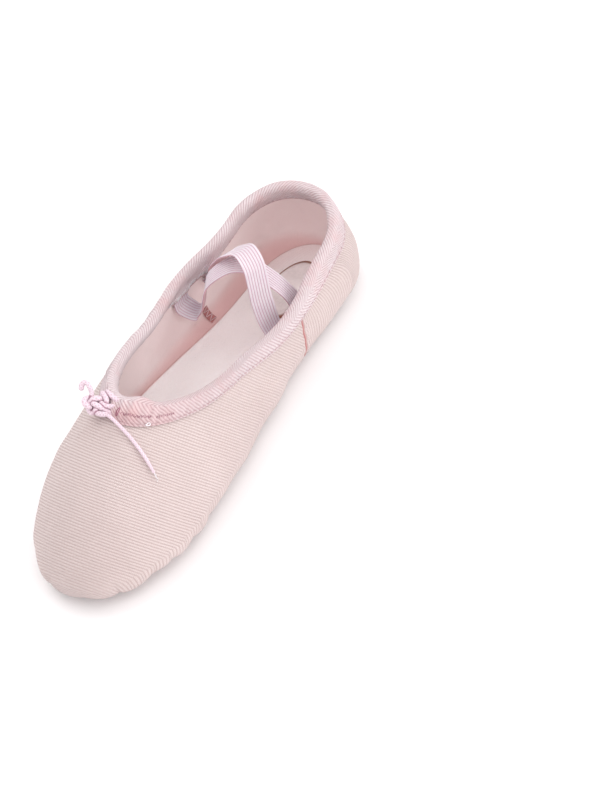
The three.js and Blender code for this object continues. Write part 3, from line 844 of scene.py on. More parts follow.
def binding_tape():
    """Herringbone tape: slanting ridges that change direction along its middle."""
    m = Cloth("binding_herringbone", 0.75, 0.4, (1, 0.93, 0.97))
    along, across = m.place()
    from_turn = m.math("ABSOLUTE", m.math("ADD", across, TWILL_TURN))
    slant = m.math("MULTIPLY_ADD", from_turn, TWILL_SLANT, along)
    twill = m.ribs(m.math("DIVIDE", slant, TWILL_PITCH))
    threads = m.wave(m.math("DIVIDE", along, 0.6))
    weave = m.math("MULTIPLY", twill, m.math("MULTIPLY_ADD", threads, 0.3, 0.7))
    cloudy = m.noise(9, 3.0, 0.6)
    light = m.patchy(cloudy, srgb(225, 213, 215), srgb(219, 204, 206))
    dark = m.patchy(cloudy, srgb(200, 172, 178), srgb(196, 164, 168))
    cloth = m.mix(m.range(weave, 0.25, 0.85), dark, light)
    fluff = m.noise(0.4, 1.0, 0.5)
    blush = m.range(m.noise(13, 2.0, 0.6), 0.5, 0.72, 0, 0.4)
    cloth = m.mix(blush, cloth, srgb(214, 166, 168))
    # Painted shade: rose in the gathers and creases and along the slot under the inner leg.
    m.colour(m.mix(m.math("MULTIPLY", m.mark("rosy_shade"), 0.7), cloth, srgb(200, 138, 138)))
    m.bumps((weave, 0.4), (fluff, 0.08), (cloudy, 0.6))
    return m.material


def ribbed_elastic():
    """Elastic: fine cross threads over the modelled ribs, with painted shade in the grooves and on the
    underside.
    """
    m = Cloth("elastic_rib", 0.6, 0.45, (1, 0.94, 0.99))
    along, _ = m.place()
    cross = m.wave(m.math("DIVIDE", along, 0.55))
    ribs = m.mark("rib")
    cloudy = m.noise(6, 2.0, 0.5)
    light = m.patchy(cloudy, srgb(226, 216, 222), srgb(221, 208, 217))
    # The darker groove colour is painted shade between the ribs.
    cloth = m.mix(m.range(ribs, 0.25, 0.75), srgb(196, 148, 168), light)
    # Painted shade on the strap's underside.
    m.colour(m.mix(m.math("MULTIPLY", m.mark("under"), 0.8), cloth, srgb(216, 164, 170)))
    m.bumps((cross, 0.12), (m.noise(0.5, 1.0), 0.06))
    return m.material


def braided_cord():
    """Soft round braid, with dark red painted shade in the gaps of the knot."""
    m = Cloth("cord_braid", 0.6, 0.35, (1, 0.94, 0.99))
    along, round_it = m.place()
    turns = m.math("DIVIDE", along, BRAID_PITCH)
    one, other = (m.wave(m.math("MULTIPLY_ADD", round_it, strands, turns)) for strands in (4.0, -4.0))
    braid = m.math("MAXIMUM", one, other)
    cloth = m.mix(m.range(braid, 0.2, 0.9), srgb(208, 180, 192), srgb(230, 212, 222))
    cloth = m.mix(m.range(m.noise(2, 2.0), 0.3, 0.8, 0, 0.3), cloth, srgb(220, 190, 202))
    m.colour(m.mix(m.mark("gap_shade"), cloth, srgb(128, 52, 84)))
    m.bumps((braid, 0.1), (m.noise(0.4, 1.0), 0.05))
    return m.material


def sewing_thread(name, light, dark):
    m = Cloth(name, 0.6, 0.3)
    along, across = m.place()
    ply = m.wave(m.math("DIVIDE", m.math("ADD", along, across), PLY_PITCH))
    m.colour(m.mix(ply, dark, light))
    m.bumps((ply, 0.08))
    return m.material


def suede():
    """Split suede: short nap in patches that lie different ways, darker at needle holes and edges."""
    m = Cloth("suede_rust", 0.95, 0.5, (1, 0.6, 0.5))
    fibres = m.noise(0.5, 3.0, 0.7, 0.4)
    nap = m.noise(2.6, 4.0, 0.65, 0.6)
    rubbed = m.noise(16, 2.0, 0.5)
    cloth = m.patchy(fibres, srgb(140, 52, 43), srgb(196, 98, 82))
    cloth = m.mix(m.range(nap, 0.35, 0.65, 0, 0.55), cloth, srgb(152, 62, 52))
    cloth = m.mix(m.range(rubbed, 0.4, 0.7, 0, 0.3), cloth, srgb(190, 98, 86))
    cloth = m.mix(m.mark("edge"), cloth, srgb(112, 44, 40))
    m.colour(m.mix(m.mark("hole"), cloth, srgb(28, 8, 8)))
    m.bumps((fibres, 0.22), (nap, 0.3))
    return m.material


# ---- Belonging ----
def belongs(piece, body, replaces=()):
    """Without a body the piece is cloth that crosses the fold of the arch."""
    if replaces:
        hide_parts(*replaces)
    if body:
        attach(piece, body)
    else:
        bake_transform(piece)
    return piece


def round_the_rim(what):
    """The four CAD nodes of a piece that goes all the way round the opening."""
    return [f"front_{what}", f"rear_{what}", f"arch_{what}_left", f"arch_{what}_right"]


# ---- Cords and the knot ----
LONG_TAIL = [
    (57.7, -3.6, 60.6), (58.3, -1.6, 60.8), (58.8, 0.4, 60.2), (59.2, 2.4, 59.1), (59.8, 4.6, 58.2),
    (60.5, 6.8, 57.4), (61.2, 9, 56.5), (62, 11.2, 55.4), (62.8, 13.3, 54.2), (63.6, 15.4, 52.9),
    (64.4, 17.3, 51.5), (65.1, 19, 50), (65.8, 20.5, 48.5), (66.4, 21.8, 47.2), (67, 23, 46),
]
SHORT_TAIL = [
    (51, -15.2, 63), (50.4, -16, 64.2), (49.8, -17, 65.2), (49.4, -18.2, 65.9),
    (49.7, -19.4, 65.7), (50.6, -20.1, 64.8), (51.4, -20, 63.8),
]
LONG_TAIL_RADIUS = 0.8
SHORT_TAIL_RADIUS = 1.0
KNOT_CORD_RADIUS = 1.25
DRAWSTRING_RADIUS = 0.75
DRAWSTRING_BELOW = 2.8


def knot_place(points):
    """Points given as right, up and towards the viewer of the knot, from its middle."""
    return KNOT + np.asarray(points, float) @ np.array([VIEW_RIGHT, VIEW_UP, VIEW_BACK])


def add_long_tail(cord_material, fray_material):
    path, length = smooth_path(LONG_TAIL, 60)
    thin = LONG_TAIL_RADIUS * (1 - 0.18 * ramp(np.linspace(0, 1, 60), 0.8, 1))
    tail = joined_object("long_tail_cord", [tube(path, thin, 12)], cord_material)
    fibres = []
    tip, way = path[-1], normalised(path[-1] - path[-4])
    for _ in range(16):
        spread = rng.normal(0, 0.38, 3)
        reach = 1.6 + 2.2 * rng.random()
        end = tip + way * reach + spread * reach * 0.5
        middle = tip + way * reach * 0.5 + spread * 0.35
        fibre, _ = smooth_path([tip - way * 0.4 + spread * 0.4, middle, end], 7)
        fibres.append(tube(fibre, 0.09, 5))
    fray = joined_object("long_tail_fray", fibres, fray_material)
    belongs(tail, "long_end", ["long_tail"])
    belongs(fray, "long_end")


def add_knot(cord_material):
    """An overhand knot beside the crossing where the two ends come out of the casing."""
    turn = full_turn(72)
    overhand = np.stack([
        -3.3 + 1.3 * (np.sin(turn) + 2 * np.sin(2 * turn)),
        -0.4 + 1.2 * (np.cos(turn) - 2 * np.cos(2 * turn)),
        1.6 - 1.1 * np.sin(3 * turn),
    ], 1)
    strands = [
        [(1.0, 4.2, -0.8), (2.0, 2.7, 1.3), (2.6, 1.0, 2.4), (2.1, -1.0, 1.8), (0.6, -2.6, 0.2)],
        [(2.8, 4.7, -1.6), (4.4, 3.4, 0.8), (6.2, 1.9, 1.2), (7.9, 0.2, 0.4), (9.0, -1.5, -1.6)],
        [(0.4, 0.0, 2.4), (2.4, -1.1, 3.0), (4.8, -1.5, 2.1), (7.0, -1.5, 0.8), (9.2, -1.6, -1.4)],
        [
            (-2.8, -0.2, 3.2), (-1.0, -1.1, 3.6), (1.2, -2.4, 3.0),
            (3.8, -3.9, 2.3), (6.4, -5.2, 1.3), (8.2, -6.4, -0.8),
        ],
        [(-2.8, -3.2, 1.6), (-1.2, -4.2, 2.8), (0.6, -4.7, 4.0), (2.2, -4.8, 4.9)],
    ]
    paths = [knot_place(overhand)] + [smooth_path(knot_place(strand), 26)[0] for strand in strands]
    short, _ = smooth_path([knot_place((-3.8, 1.8, 1.0)), *SHORT_TAIL], 44)
    paths.append(short)
    joint, _ = smooth_path([knot_place([2.2, -4.8, 4.9]), LONG_TAIL[0]], 8)
    parts = [tube(paths[0], KNOT_CORD_RADIUS, 16, closed=True)]
    parts += [tube(path, KNOT_CORD_RADIUS * 0.96, 16) for path in paths[1:-1]]
    swell = SHORT_TAIL_RADIUS * (1.05 + 0.18 * ramp(np.linspace(0, 1, 44), 0.6, 0.95))
    parts.append(tube(short, swell, 16))
    # Painted shade where the knot's strands lie close to each other.
    gaps = []
    for i, (points, _, _) in enumerate(parts):
        others = np.concatenate([path for k, path in enumerate(paths) if k != i])
        nearest = np.min(np.linalg.norm(points[:, None] - others[None], axis=2), axis=1)
        gaps.append(1 - ramp(nearest, KNOT_CORD_RADIUS * 0.9, KNOT_CORD_RADIUS * 1.45))
    parts.append(tube(joint, np.linspace(KNOT_CORD_RADIUS * 0.8, LONG_TAIL_RADIUS, 8), 12))
    gaps.append(np.zeros(len(parts[-1][0])))
    marks = {"gap_shade": 0.85 * np.concatenate(gaps)}
    knot = joined_object("knotted_cord", parts, cord_material, marks=marks)
    belongs(knot, "forepart", ["drawstring_knot", "short_tail"])


def add_drawstring(cord_material):
    """The cord runs round inside the casing and comes out at the knot."""
    station = 1 + FRONT_GAP_STATION + np.linspace(0.012, 1.988, 300)
    points, out = skin_frame(station, np.full(300, DRAWSTRING_BELOW))
    middle = points - out * (BINDING_OUTSIDE + BINDING_INSIDE) / 2
    cord = joined_object("casing_drawstring", [tube(middle, DRAWSTRING_RADIUS, 10)], cord_material)
    belongs(cord, None, round_the_rim("drawstring"))


# ---- The upper ----
CANVAS_TOP = 4  # the canvas stops this far below the binding's fold
UPPER_ROWS = 92
VAMP_COLUMNS = 440
QUARTER_COLUMNS = 260
SEAM_GAP = 0.24  # between the two canvases at the cross seam
# The limits of how far the canvas stands out on the walls and at the sole, where it stays above the floor.
MOST_STAND, LEAST_STAND = (3.0, 1.55), (-1.5, -0.2)
INSOLE_EDGE_SHARE = 0.62  # the insole's edge lies at this share of the way down from the rim


def seam_grid(x, rows, columns, heel):
    """Stations and distances below the rim of the cloth ahead of (or behind) a cut across the slipper."""
    share = np.linspace(0, 1, rows)

    def below_of(station):
        return lerp(CANVAS_TOP, rim_to_spine(station), share)

    cut = station_at(np.full(rows, float(x)), 1, below_of)[:, None]
    u = np.linspace(0, 1, columns)[None]
    stations = lerp(2 - cut, 2 + cut, u) if heel else lerp(cut, 2 - cut, u)
    return stations, lerp(CANVAS_TOP, rim_to_spine(stations), share[:, None])


def ring_grid(rows, columns, first_share=0.0):
    stations = np.broadcast_to(np.linspace(0, 2, columns, endpoint=False), (rows, columns)).copy()
    share = np.linspace(first_share, 1, rows)[:, None]
    return stations, lerp(CANVAS_TOP, rim_to_spine(stations), share)


def draped_place(points, out, below):
    """Cloth places whose ribs lie across the slipper and lean back as they go down its sides."""
    points = points.copy()
    points[..., 1] -= toe_shift(points[..., 0])
    step = np.diff(points, axis=0)
    length = np.linalg.norm(step, axis=2)
    widest = np.abs(points[..., 2] - OUTLINE_HEIGHT).argmin(0)
    columns = np.arange(points.shape[1])
    facing = out[widest, columns]
    to_toe = facing[:, 0] ** 2 / (facing[:, 0] ** 2 + facing[:, 1] ** 2 + 1e-9)
    to_toe = to_toe * (points[widest, columns, 0] > 0)
    dx, dz = step[..., 0], step[..., 2]
    over = (dx - RIB_LEAN * dz) / math.hypot(1, RIB_LEAN)
    under = dx * (1 - to_toe) + length * to_toe
    forward = np.where(np.arange(len(step))[:, None] < widest, over, under)
    sideways = np.sqrt(step[..., 1] ** 2 + facing[:, 1] ** 2 * dz ** 2)
    side = np.where(columns < points.shape[1] / 2, 1, -1)
    zero = np.zeros((1, points.shape[1]))
    at_rim = (points[:1, :, 0] - RIB_LEAN * points[:1, :, 2]) / math.hypot(1, RIB_LEAN)
    along = at_rim + np.concatenate([zero, np.cumsum(forward, 0)])
    across = points[:1, :, 1] + side * np.concatenate([zero, np.cumsum(sideways, 0)])
    return np.stack([along, across], -1)


def upright_place(points, out, below):
    """Cloth places whose ribs stand upright round the slipper."""
    return np.stack([np.broadcast_to(run_along(points[6]), below.shape), below], -1)


def seam_pucker(points):
    """Small puckers beside the cross seam, and a shallow groove at the seam itself."""
    from_seam = np.abs(points[..., 0] - CROSS_SEAM_X)
    around = points[..., 2] + np.abs(points[..., 1])
    return 0.22 * np.sin(around / 1.1) * bell(from_seam - 2.5, 2.5) - 0.35 * bell(from_seam, 0.8)


def canvas_height(points, below):
    """How far the canvas stands out of the skin."""
    stand = relief(points, below) + pleats(points) + arch_wrinkles(points) + seam_pucker(points)
    at_sole = 1 - ramp(points[..., 2], 2.2, 6)
    most = lerp(*MOST_STAND, at_sole)
    least = lerp(*LEAST_STAND, at_sole)
    under_patch = under_a_patch(points) * at_sole
    return np.clip(stand, least, most) * (1 - under_patch) + under_patch * 0.02


def patch_shape(node):
    low, high = node_box(node)
    toward = 1 if (low[0] + high[0]) > 0 else -1
    return {
        "tip": low[0] if toward > 0 else high[0],
        "length": high[0] - low[0],
        "half": (high[1] - low[1]) / 2,
        "middle": (high[1] + low[1]) / 2,
        "toward": toward,
        "thickness": high[2] - low[2],
    }


PATCHES = {name: patch_shape(name) for name in ("front_sole_patch", "heel_sole_patch")}


def under_a_patch(points):
    """1 above a sole patch and 0 a little outside it."""
    covered = np.zeros(points.shape[:-1])
    for patch in PATCHES.values():
        from_tip = (points[..., 0] - patch["tip"]) * patch["toward"] / patch["length"]
        turn = np.arccos(np.clip(1 - 2 * from_tip, -1, 1))
        half = patch["half"] / TEARDROP_BULGE * np.sin(turn) * np.sin(turn / 2)
        inside = half + 0.6 - np.abs(points[..., 1] - patch["middle"])
        covered = np.maximum(covered, ramp(inside, -1.0, 0.2) * (from_tip > 0) * (from_tip < 1))
    return covered


def canvas_piece(name, side, columns, cloth_place, material):
    """The canvas ahead of the cross seam (side 1) or behind it (side -1)."""
    stations, below = seam_grid(CROSS_SEAM_X + side * SEAM_GAP / 2, UPPER_ROWS, columns, side < 0)
    points, out = skin_frame(stations, below)
    # A narrow band of painted shade right at the cross seam.
    near_seam = bell(points[..., 0] - CROSS_SEAM_X, 0.5)
    place = cloth_place(points, out, below)
    height = canvas_height(points, below)
    return shell(name, stations, below, height, CANVAS, place, material, False, {"rosy_shade": near_seam})


def add_canvas(material):
    vamp = canvas_piece("vamp_fabric", 1, VAMP_COLUMNS, draped_place, material)
    vamp_nodes = ["vamp_canvas", "vamp_wall", "vamp_underside", "arch_canvas", "waist_canvas"]
    belongs(vamp, None, vamp_nodes)
    quarter = canvas_piece("quarter_fabric", -1, QUARTER_COLUMNS, upright_place, material)
    belongs(quarter, "heelpart", ["quarter_canvas"])


def add_lining(material):
    stations, below = ring_grid(70, 380)
    points, out = skin_frame(stations, below)
    # Painted shade low on the lining, near the sole.
    foot_shade = 0.75 * (1 - ramp(points[..., 2], 4, 13))
    lining = shell(
        "lining_fabric", stations, below, relief(points, below) - LINING_DEPTH, LINING,
        upright_place(points, out, below), material, True, {"foot_shade": foot_shade},
    )
    belongs(lining, None, ["vamp_lining", "arch_lining", "quarter_lining"])


def insole_crown(points):
    return 0.25 * soft_noise(points, 20)


def add_insole(material):
    stations, below = ring_grid(56, 300, INSOLE_EDGE_SHARE)
    points, out = skin_frame(stations, below)
    from_edge = below - below[:1]
    thickness = INSOLE * (0.35 + 0.65 * ramp(from_edge, 0, 1.4))
    thickness = thickness + insole_crown(points) * ramp(from_edge, 0, 6)
    # A band of painted shade at the back of the heel, beside the insole's edge.
    heel_shade = 0.3 * ramp(-points[..., 0], 70, 95) * bell(from_edge, 12)
    height = relief(points, below) - INSOLE_DEPTH
    # The edge mark is painted shade along the crease by the wall and in the heel band.
    marks = {"edge": np.maximum(bell(from_edge, 0.7), heel_shade)}
    place = upright_place(points, out, below)
    insole = shell("insole_sock", stations, below, height, thickness, place, material, True, marks)
    belongs(insole, None, ["front_insole", "rear_insole"])


def height_field(surface):
    """A search tree over a surface's places in plan, and its heights."""
    tree = kdtree.KDTree(len(surface))
    for i, (x, y, _) in enumerate(surface):
        tree.insert((x, y, 0), i)
    tree.balance()
    return tree, surface[:, 2]


def height_at(flat, field):
    tree, height = field
    found = np.empty(len(flat))
    for i, (x, y) in enumerate(flat):
        near = tree.find_n((x, y, 0), 6)
        weight = np.array([1 / (distance + 0.2) for _, _, distance in near])
        found[i] = height[[index for _, index, _ in near]] @ weight / weight.sum()
    return found


def with_height(flat, z):
    """Places in plan and their heights as points."""
    return np.concatenate([flat, z[..., None]], -1)


def plate_faces(rings, columns):
    """Faces of a closed plate whose rings run from its edge inwards, the lower face's points first."""
    n = rings * columns
    lower = quads(rings, columns)
    j = np.arange(columns)
    side = np.stack([j, j + n, (j + 1) % columns + n, (j + 1) % columns], 1)
    inner = (rings - 1) * columns + j
    return [lower, lower[:, ::-1] + n, side, inner[None, ::-1].copy(), (inner + n)[None]]


def add_heel_pad(material):
    low, high = node_box("heel_pad")
    middle, half = (low + high)[:2] / 2, (high - low)[:2] / 2
    stations, below = ring_grid(100, 500, 0.45)
    points, out = skin_frame(stations, below)
    depth = INSOLE_DEPTH + INSOLE + insole_crown(points)
    sock = points + out * (relief(points, below) - depth)[..., None]
    field = height_field(sock[(out[..., 2] < -0.2) & (sock[..., 0] < high[0] + 10)])
    rings, columns = 34, 180
    share = np.linspace(1, 0.01, rings)[:, None]
    turn = full_turn(columns)
    ring = np.stack([np.cos(turn), np.sin(turn)], -1)
    grid = middle + half * share[..., None] * ring
    base = height_at(grid.reshape(-1, 2), field).reshape(rings, columns)
    from_edge = np.broadcast_to((1 - share) * half[1], base.shape)
    crown = ramp(from_edge, -0.3, 2.6)
    top = base + 0.45 + 1.7 * crown + 0.15 * soft_noise(with_height(grid, base), 14) * crown
    points = np.concatenate([with_height(grid, z).reshape(-1, 3) for z in (base + 0.06, top)])
    faces = plate_faces(rings, columns)
    marks = {"edge": np.tile((1 - ramp(from_edge, 0.55, 1.3)).ravel(), 2)}
    pad = closed_mesh("heel_pad_cushion", points, faces, [points[f][..., :2] for f in faces], material, marks)
    belongs(pad, "heelpart", ["heel_pad"])


# ---- The binding ----
OUTER_LEG, INNER_LEG = -0.55, 2.6  # the tape's depths at its topstitch
TOPSTITCH_BELOW = 10.9
# The middle of the folded tape's section: distances below the fold and depths inwards from the skin.
BINDING_LINE = [
    (BINDING_WIDTH, -0.62), (TOPSTITCH_BELOW, OUTER_LEG), (9, -0.9), (6.4, -1.1), (3.6, -1.3), (1.4, -0.95),
    (0.3, 0.1), (0, 0.98), (0.3, 1.85), (1.4, 2.9), (3.6, 3.25), (6.4, 3.0), (9, 2.85),
    (TOPSTITCH_BELOW, INNER_LEG), (BINDING_WIDTH, 2.65),
]
TAPE_HALF = 0.36  # half of its thickness
STRAP_ENDS = {
    "left_front": (-35, 1), "left_rear": (-57.5, 1), "right_front": (-35, -1), "right_rear": (-59, -1),
}


def rim_run(stations):
    """Distance along the rim, starting at the heel."""
    fine = np.linspace(0, 2, 1601)
    rim = skin(fine, 0)
    run = run_along(rim)
    return np.interp(np.mod(stations, 2), fine, run), run[-1]


def rim_station_near(place):
    fine = np.linspace(0.6, 1.4, 801)
    return fine[np.linalg.norm(skin(fine, 0)[:, :2] - np.asarray(place)[:2], axis=1).argmin()]


FRONT_GAP_STATION = rim_station_near(KNOT) - 1


def from_knot(stations):
    """Distance along the rim from the knot, positive towards the slipper's left."""
    run, whole = rim_run(stations)
    knot_run, _ = rim_run(np.array([1 + FRONT_GAP_STATION]))
    away = knot_run[0] - run
    return (away + whole / 2) % whole - whole / 2


def binding_offsets(stations, points, below, inner_leg):
    """How far the tape stands off its plain shape: gathers by the knot, small ripples and strap ends.
    Gives the distance outwards of that leg and the rise of the fold."""
    away = from_knot(stations)
    run, _ = rim_run(stations)
    gather = bell(away - 4, 26)
    jitter = 1.4 * soft_noise(np.stack([run / 8, run * 0, run * 0], -1), 1)
    ripple = np.sin(2 * np.pi * run / 4.4 + jitter + below * 0.12)
    slow = soft_noise(np.stack([run, below * 2, run * 0], -1), 11)
    open_part = ramp(below, 0.4, 3) * (1 - ramp(below, 8.5, 10.6))
    crease = soft_noise(np.stack([run + below * 0.8, below * 1.6, run * 0], -1), 4.5)
    pucker = 0.2 * np.sin(2 * np.pi * run / 3.3 + 2.5 * jitter + 0.4 * below) * bell(below - 9.2, 2.6)
    off = open_part * (gather * (0.55 + 0.55 * ripple) + 0.2 * (1 + slow) + 0.24 * crease)
    off = off + pucker * (1 - ramp(below, 10.2, 11.2))
    bulge = bell(away - 11, 5.5)
    off = off + 0.9 * bulge * (1 - ramp(below, 3, 9))
    rise = 2.6 * bulge * (1 - ramp(below, 0, 7)) + 0.25 * slow * (1 - ramp(below, 0, 5))
    if inner_leg:
        for x, side in STRAP_ENDS.values():
            on_side = points[..., 1] * side > 0
            near = (1 - ramp(np.abs(points[..., 0] - x), 5.0, 8.0)) * on_side
            off = off + 1.1 * near * ramp(below, 5, 10)
    return off, rise


def tape_point(stations, below, depth):
    """A point of the tape: depth is measured inwards from the skin, along its direction at that place."""
    points, out = skin_frame(stations, np.maximum(below, 0.05))
    off_out, rise = binding_offsets(stations, points, below, False)
    off_in, _ = binding_offsets(stations, points, below, True)
    off = lerp(off_out, -off_in, ramp(depth, 0.2, 1.8))
    up = normalised(skin(stations, 0.05) - skin(stations, 1.5))
    return points - out * depth[..., None] + out * off[..., None] + up * rise[..., None]


def tape_profile():
    """The tape's section as distances below the fold and depths, and each point's place across the tape."""
    middle, _ = smooth_path([(b, d, 0) for b, d in BINDING_LINE], 40)
    tangent = normalised(np.gradient(middle[:, :2], axis=0))
    normal = np.stack([-tangent[:, 1], tangent[:, 0]], 1)
    thick = TAPE_HALF * np.sqrt(np.clip(1 - (np.abs(np.linspace(-1, 1, 40)) ** 14), 0.12, 1))
    one = middle[:, :2] + normal * thick[:, None]
    other = middle[:, :2] - normal * thick[:, None]
    width = run_along(middle)
    width = width - width[-1] / 2
    return np.concatenate([one, other[::-1]]), np.concatenate([width, width[::-1]])


def add_binding(material):
    columns = 1000
    stations = np.linspace(0, 2, columns, endpoint=False)
    profile, across = tape_profile()
    grid_s, grid_b = np.meshgrid(stations, profile[:, 0], indexing="ij")
    _, grid_d = np.meshgrid(stations, profile[:, 1], indexing="ij")
    points = tape_point(grid_s, grid_b, grid_d)
    faces = quads(columns, len(profile), wrap_rows=True)
    run, whole = rim_run(stations)
    row, column = faces // len(profile), faces % len(profile)
    wraps = (row.max(1) - row.min(1) > 1)[:, None]
    along = np.where(wraps & (row == 0), whole, run[row])
    uv = np.stack([along, across[column]], -1)
    # The tape's rose tint is painted shade: in the gathers by the knot, patchy on the inner leg by the left
    # straps, and along the slot under the inner leg's lower edge.
    away = from_knot(grid_s)
    gather_shade = bell(away - 8, 9) * ramp(grid_b, 2, 8) * 0.5 + 0.22 * bell(away - 32, 20)
    lower_edge = ramp(grid_b, 11.0, 12) * ramp(grid_d, 0, 2) * 0.9
    by_the_straps = 0.4 * bell(points[..., 0] + 44, 24) * ramp(grid_d, 0, 2) * (points[..., 1] > 0)
    gather_shade = np.maximum(gather_shade, by_the_straps * ramp(soft_noise(points, 7), -0.6, 0.7))
    tape = closed_mesh(
        "binding_tape", points.reshape(-1, 3), [faces], [uv], material,
        {"rosy_shade": np.maximum(gather_shade, lower_edge).ravel()},
    )
    belongs(tape, None, round_the_rim("binding"))


def tape_row(stations, below, depth, lift):
    """A line on the tape's face, and the directions out of it."""
    b = np.full_like(stations, below)
    on = tape_point(stations, b, np.full_like(stations, depth))
    beside = tape_point(stations, b, np.full_like(stations, depth + (0.3 if depth > 1 else -0.3)))
    out = normalised(beside - on)
    return on + out * lift, out


def add_binding_stitch(thread):
    stations = np.linspace(0, 2, 1400, endpoint=False)
    rows = []
    for depth in (OUTER_LEG - TAPE_HALF, INNER_LEG + TAPE_HALF):
        line, out = tape_row(stations, TOPSTITCH_BELOW, depth, 0.06)
        rows.append(stitch_places(line, out, BINDING_PITCH, True))
    middle, along, out = (np.concatenate(parts) for parts in zip(*rows))
    stitch = stitches("binding_topstitch", middle, along, out, BINDING_STITCH, thread)
    belongs(stitch, None, round_the_rim("binding_stitch"))


def add_mend(name, stations, low, high, size, thread):
    """Short slanting stitches that go up and down between two distances below the fold."""
    centres, along, outs = [], [], []
    reach = (stations[1] - stations[0]) * 0.3
    for i, station in enumerate(stations):
        ends = station + np.array([-reach, reach])
        b = np.array([low, high]) if i % 2 else np.array([high, low])
        on = tape_point(ends, b, np.full(2, MEND_DEPTH))
        beside = tape_point(ends, b, np.full(2, MEND_DEPTH - 0.3))
        out = normalised((beside - on).mean(0))
        centres.append(on.mean(0) + out * 0.1)
        along.append(on[1] - on[0])
        outs.append(out)
    belongs(stitches(name, centres, along, outs, size, thread), "forepart")


def add_tacks(thread):
    """Upright stitches hold the strap ends under the tape's inner leg, close to its lower edge."""
    for name, (x, side) in STRAP_ENDS.items():
        front = name.endswith("front")
        back_reach, front_reach = (11, 9) if front else (9, 10)
        spread = np.linspace(x - back_reach, x + front_reach, 15)
        station = station_at(spread, side, lambda s: np.full_like(s, 9.5))
        high, low = (
            tape_point(station + lean, np.full(15, b), np.full(15, 2.9 + TAPE_HALF))
            for b, lean in ((7.6, 0.0012), (10.6, -0.0012))
        )
        inward = -skin_frame(station, np.full(15, 9.5))[1]
        middle = (high + low) / 2 + inward * 0.15
        tack = stitches(f"{name}_zigzag", middle, low - high, inward, TACK_STITCH, thread)
        belongs(tack, None if front else "heelpart", [f"{name}_tack"])


MEND_DEPTH = -1.0 - TAPE_HALF  # on the tape's outer face


def add_casing_mend(thread, white):
    """Darker stitches beside the knot, where the casing is closed over the drawstring."""
    fine = np.linspace(0.7, 1.3, 1201)
    away = from_knot(fine)
    order = np.argsort(away)

    def at(distance):
        return np.interp(distance, away[order], fine[order])

    add_mend("casing_mend", at(np.linspace(7, 18, 17)), 7.0, 8.4, MEND_STITCH, thread)
    add_mend("casing_mend_end", at(np.linspace(21, 28, 9)), 7.4, 8.6, MEND_END_STITCH, thread)
    knotted = tape_point(
        at(np.array([17.5, 18.6, 19.4, 18.8, 17.8, 18.2])), np.array([11.4, 10.6, 11.2, 12.0, 11.8, 11.0]),
        -0.7 - TAPE_HALF - np.array([0.1, 0.5, 0.3, 0.5, 0.9, 0.6]),
    )
    loose, _ = smooth_path(knotted, 40)
    belongs(joined_object("loose_thread_end", [tube(loose, 0.22, 7)], white), "forepart")
    ring_turn = full_turn(28)
    slit = at(5.2 + 0.7 * np.cos(ring_turn))
    ring = tape_point(slit, 7.6 + 1.8 * np.sin(ring_turn), np.full(28, MEND_DEPTH - 0.15))
    eyelet = joined_object("casing_slit_edge", [tube(ring, 0.24, 8, closed=True)], thread)
    belongs(eyelet, "forepart")


# ---- Seams ----
ROW_FROM_SEAM = 2.6  # a topstitch's distance from its seam
OFF_THE_FLOOR = 0.05


def cloth_line(stations, below, lift):
    """A line on the canvas, with its outward directions."""
    points, out = skin_frame(stations, below)
    return points + out * (canvas_height(points, below) + lift)[..., None], out


def cross_seam_line(x, lift):
    """The line where the canvas is cut across, from the left binding under the sole to the right one."""
    share = np.linspace(0.0, 0.995, 170)

    def below_of(station):
        return lerp(BINDING_WIDTH + 0.3, rim_to_spine(station), share)

    stations = [station_at(np.full(len(share), float(x)), side, below_of) for side in (1, -1)]
    (left, left_out), (right, right_out) = (cloth_line(s, below_of(s), lift) for s in stations)
    return np.concatenate([left, right[::-1]]), np.concatenate([left_out, right_out[::-1]])


def flat_strip(line, out, half_width, half_height):
    """Points, faces and places of a low rounded strip along a line."""
    tangent = normalised(np.gradient(line, axis=0))
    across = normalised(np.cross(out, tangent))
    up = np.cross(tangent, across)
    angle = full_turn(10)
    ring = (
        np.cos(angle)[None, :, None] * across[:, None] * half_width
        + np.sin(angle)[None, :, None] * up[:, None] * half_height
    )
    points = (line[:, None] + ring).reshape(-1, 3)
    points[:, 2] = np.maximum(points[:, 2], OFF_THE_FLOOR)
    faces = quads(len(line), 10)
    run = run_along(line)
    uv = np.stack([run[faces // 10], (faces % 10) / 10], -1)
    last = (len(line) - 1) * 10
    caps = [np.arange(10)[None, ::-1].copy(), last + np.arange(10)[None]]
    places = [uv, *(np.stack([run[c // 10], (c % 10) / 10], -1) for c in caps)]
    return points, [faces, *caps], places


def add_cross_seam(shaded_edge_cloth, thread):
    line, out = cross_seam_line(CROSS_SEAM_X, 0.05)
    # Its deep rose is painted shade in the seam's gap.
    ridge = joined_object("cross_seam_edge", [flat_strip(line, out, 0.42, 0.4)], shaded_edge_cloth)
    belongs(ridge, "heelpart", ["cross_seam_ridge"])
    places = stitch_places(*cross_seam_line(CROSS_SEAM_X - ROW_FROM_SEAM, 0.05), CROSS_SEAM_PITCH)
    row = stitches("cross_seam_topstitch", *places, CROSS_SEAM_STITCH, thread)
    belongs(row, "heelpart", ["cross_seam_stitch"])


def arch_line(y, lift):
    low, high = node_box("centre_seam_ridge")
    x = np.linspace(low[0], high[0], 90)
    points = np.stack([x, np.full(90, float(y)), np.full(90, float(CANVAS_BOTTOM))], 1)
    height = canvas_height(points, np.full(90, 90.0))
    points[:, 2] = np.maximum(CANVAS_BOTTOM - height - lift, 0.3)
    return points, downwards(len(points))


